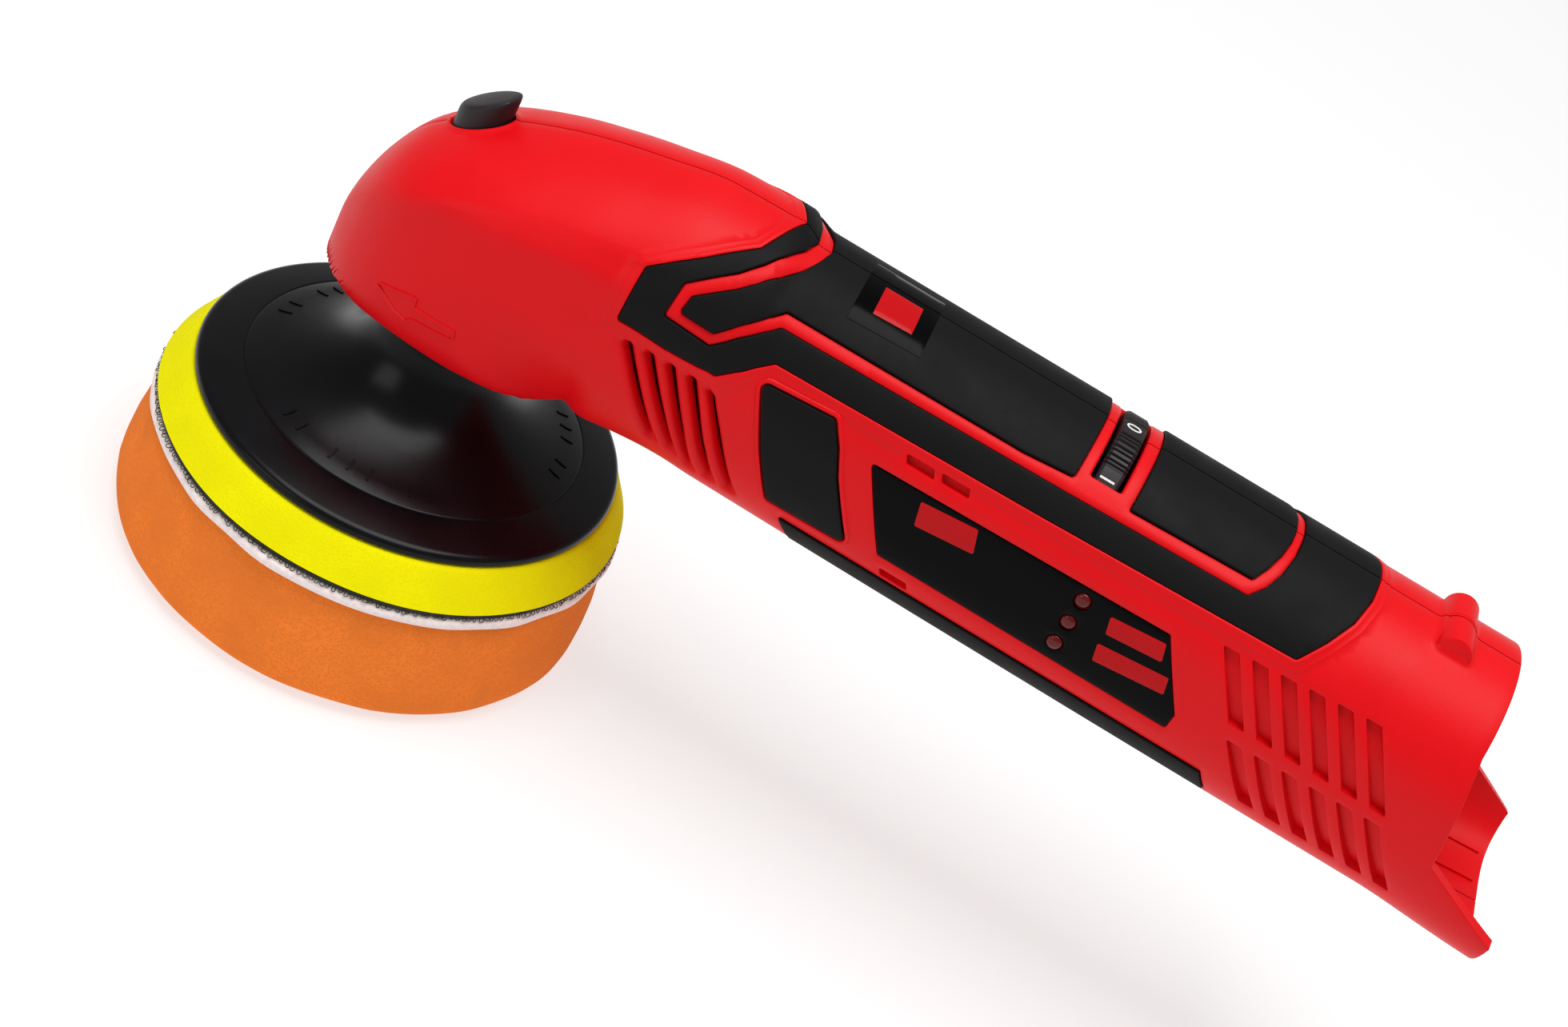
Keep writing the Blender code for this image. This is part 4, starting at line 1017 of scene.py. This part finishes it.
def foam_stack(finishes):
    source = Random(4)
    ring = ragged(source, 0.22, 9)
    profile = [
        (0, 38), (40, 38), (44.7, 38), (45.3, 37.9), (45.8, 37.4), (47.2, 35.0), (48.7, 32.4), (49.7, 30.7),
        (50, 30.2), (49.8, 30), (40, 30), (0, 30),
    ]
    obj = new_object("upper_foam", *turned(profile, 180, wavy_rim(profile, ring)), sharp=50)
    finish_piece(obj, finishes["yellow_foam"], "yellow_foam", "pad", "foam_layer")

    profile = [(0, 29.8), (49.0, 29.8), (49.5, 29.6), (49.6, 29.2), (49.5, 28.8), (49.0, 28.6), (0, 28.6)]
    obj = new_object("hook_backing", *turned(profile, 180, wavy_rim(profile, ring)), sharp=50)
    finish_piece(obj, finishes["hook_tape"], "hook_tape", "pad", "hook_layer")

    felt = ragged(source, 0.3, 24)
    profile = [
        (0, 28.5), (49.0, 28.5), (50.0, 28.2), (50.4, 27.5), (50.4, 26.7), (50.1, 26.2), (49.7, 26.3),
        (49.3, 26.7), (0, 26.7),
    ]
    obj = new_object("felt_backing", *turned(profile, 240, wavy_rim(profile, felt)), sharp=50)
    finish_piece(obj, finishes["loop_felt"], "loop_felt", "pad", "loop_layer")

    low = ragged(source, 0.55, 12)
    side = ragged(source, 0.35, 14)
    profile = [
        (0, 26.6), (48.2, 26.6), (49.0, 26.4), (49.3, 25.8), (49.5, 22.6), (50.0, 19.4), (50.6, 15.6),
        (51.2, 12.0), (51.5, 8.4), (51.45, 5.6), (51.1, 3.4), (50.4, 1.8), (49.2, 0.6), (47.6, 0.1),
        (45.5, 0.0), (30, 0.0), (0, 0.0),
    ]

    def crumple(index, angle):
        radius, height = profile[index]
        if radius < 45.6:
            return 0, 0
        share = max(0.0, 1 - abs(height - 8) / 20)
        return -abs(side(angle)) * share, max(low(angle), 0.0) * max(0.0, 1 - height / 6)

    obj = new_object("polishing_foam", *turned(profile, 240, crumple), sharp=60)
    finish_piece(obj, finishes["orange_foam"], "orange_foam", "pad", "foam_pad")


def hook_loops(finishes):
    """Small loops of the hook tape that stick out along its edge."""
    source = Random(11)
    curve = bpy.data.curves.new("tape_loops", "CURVE")
    curve.dimensions = "3D"
    curve.bevel_depth = 0.09 * MM
    curve.bevel_resolution = 1
    curve.resolution_u = 3
    count = 250
    middle_z = 29.1
    for k in range(count):
        angle = 2 * pi * (k + source.uniform(-0.25, 0.25)) / count
        radius = 49.5 + source.uniform(-0.1, 0.2)
        width, drop = source.uniform(0.5, 0.9), source.uniform(0.3, 0.8)
        lean = source.uniform(-0.5, 0.5)
        out = source.uniform(0.3, 0.7)
        places = [(-width / 2, 0, 0), (-width * 0.6 + lean * 0.4, -drop * 0.6, out), (lean, -drop, out * 1.1)]
        places += [(width * 0.6 + lean * 0.4, -drop * 0.55, out), (width / 2, 0, 0.05)]
        line = curve.splines.new("BEZIER")
        line.bezier_points.add(len(places) - 1)
        for point, (along, down, away) in zip(line.bezier_points, places):
            r = radius + away
            turn = angle + along / r
            point.co = Vector((r * cos(turn), r * sin(turn), middle_z + down)) * MM
            point.handle_left_type = point.handle_right_type = "AUTO"
    obj = bpy.data.objects.new("tape_loops", curve)
    bpy.context.scene.collection.objects.link(obj)
    finish_piece(obj, finishes["hook_tape"], "hook_tape", "pad")


# --- Scene ---


def finish_nodes(finishes):
    """Gives each CAD node that stays the finish of its slot."""
    slots = {row["node"]: row["material_slot"] for row in frame["record"]["subparts"]}
    for name, obj in frame["nodes"].items():
        obj.data.materials.clear()
        obj.data.materials.append(finishes[slots[name]])


def camera():
    right, up = Vector((0.8569, 0.3025, 0.4174)), Vector((-0.5152, 0.4758, 0.7129))
    forward = Vector((-0.0170, 0.8259, -0.5636))
    data = bpy.data.cameras.new("camera")
    data.sensor_width = 36
    data.lens = 59.4
    data.clip_start = 0.01
    obj = bpy.data.objects.new("camera", data)
    bpy.context.scene.collection.objects.link(obj)
    turn = Matrix((right, up, -forward)).transposed().to_4x4()
    obj.matrix_world = Matrix.Translation(Vector((84.9, -422.8, 352.4)) * MM) @ turn
    bpy.context.scene.camera = obj


def light(name, at, target, size, power, colour=(1, 1, 1)):
    data = bpy.data.lights.new(name, "AREA")
    data.shape = "RECTANGLE"
    data.size, data.size_y = size
    data.energy = power
    data.color = colour
    obj = bpy.data.objects.new(name, data)
    bpy.context.scene.collection.objects.link(obj)
    toward = Vector(target) - Vector(at)
    obj.matrix_world = Matrix.Translation(at) @ toward.to_track_quat("-Z", "Y").to_matrix().to_4x4()


def studio():
    mesh = bpy.data.meshes.new("floor")
    far = 40.0
    mesh.from_pydata([(-far, -far, 0), (far, -far, 0), (far, far, 0), (-far, far, 0)], [], [(0, 1, 2, 3)])
    floor = bpy.data.objects.new("floor", mesh)
    floor.location.z = -0.0006
    bpy.context.scene.collection.objects.link(floor)
    glow = {"Emission_Color": (1, 1, 1, 1), "Emission_Strength": 0.66}
    floor.data.materials.append(material("floor_paper", (158, 158, 158), 0.9, shade=0.99, patch=300, **glow))
    world = bpy.data.worlds.new("studio")
    world.use_nodes = True
    world.node_tree.nodes["Background"].inputs[0].default_value = (1, 1, 1, 1)
    world.node_tree.nodes["Background"].inputs[1].default_value = 0.36
    bpy.context.scene.world = world
    light("overhead", (0.1, -0.1, 1.3), (0.1, 0, 0.05), (1.2, 0.8), 15.5)
    light("front", (-0.9, -1.2, 0.7), (0.1, 0, 0.06), (0.8, 0.6), 3)
    bpy.context.scene.view_settings.view_transform = "Standard"


def main():
    finishes = materials()
    finish_nodes(finishes)
    for side in (-1, 1):
        hand = "left" if side < 0 else "right"
        casing_half(f"{hand}_casing", side, finishes)
        covers(side, finishes)
        sticker(side, finishes)
    light_lenses(finishes)
    screw_heads(finishes)
    dial(finishes)
    lock_button(finishes)
    backing_plate(finishes)
    foam_stack(finishes)
    hook_loops(finishes)
    camera()
    studio()


main()
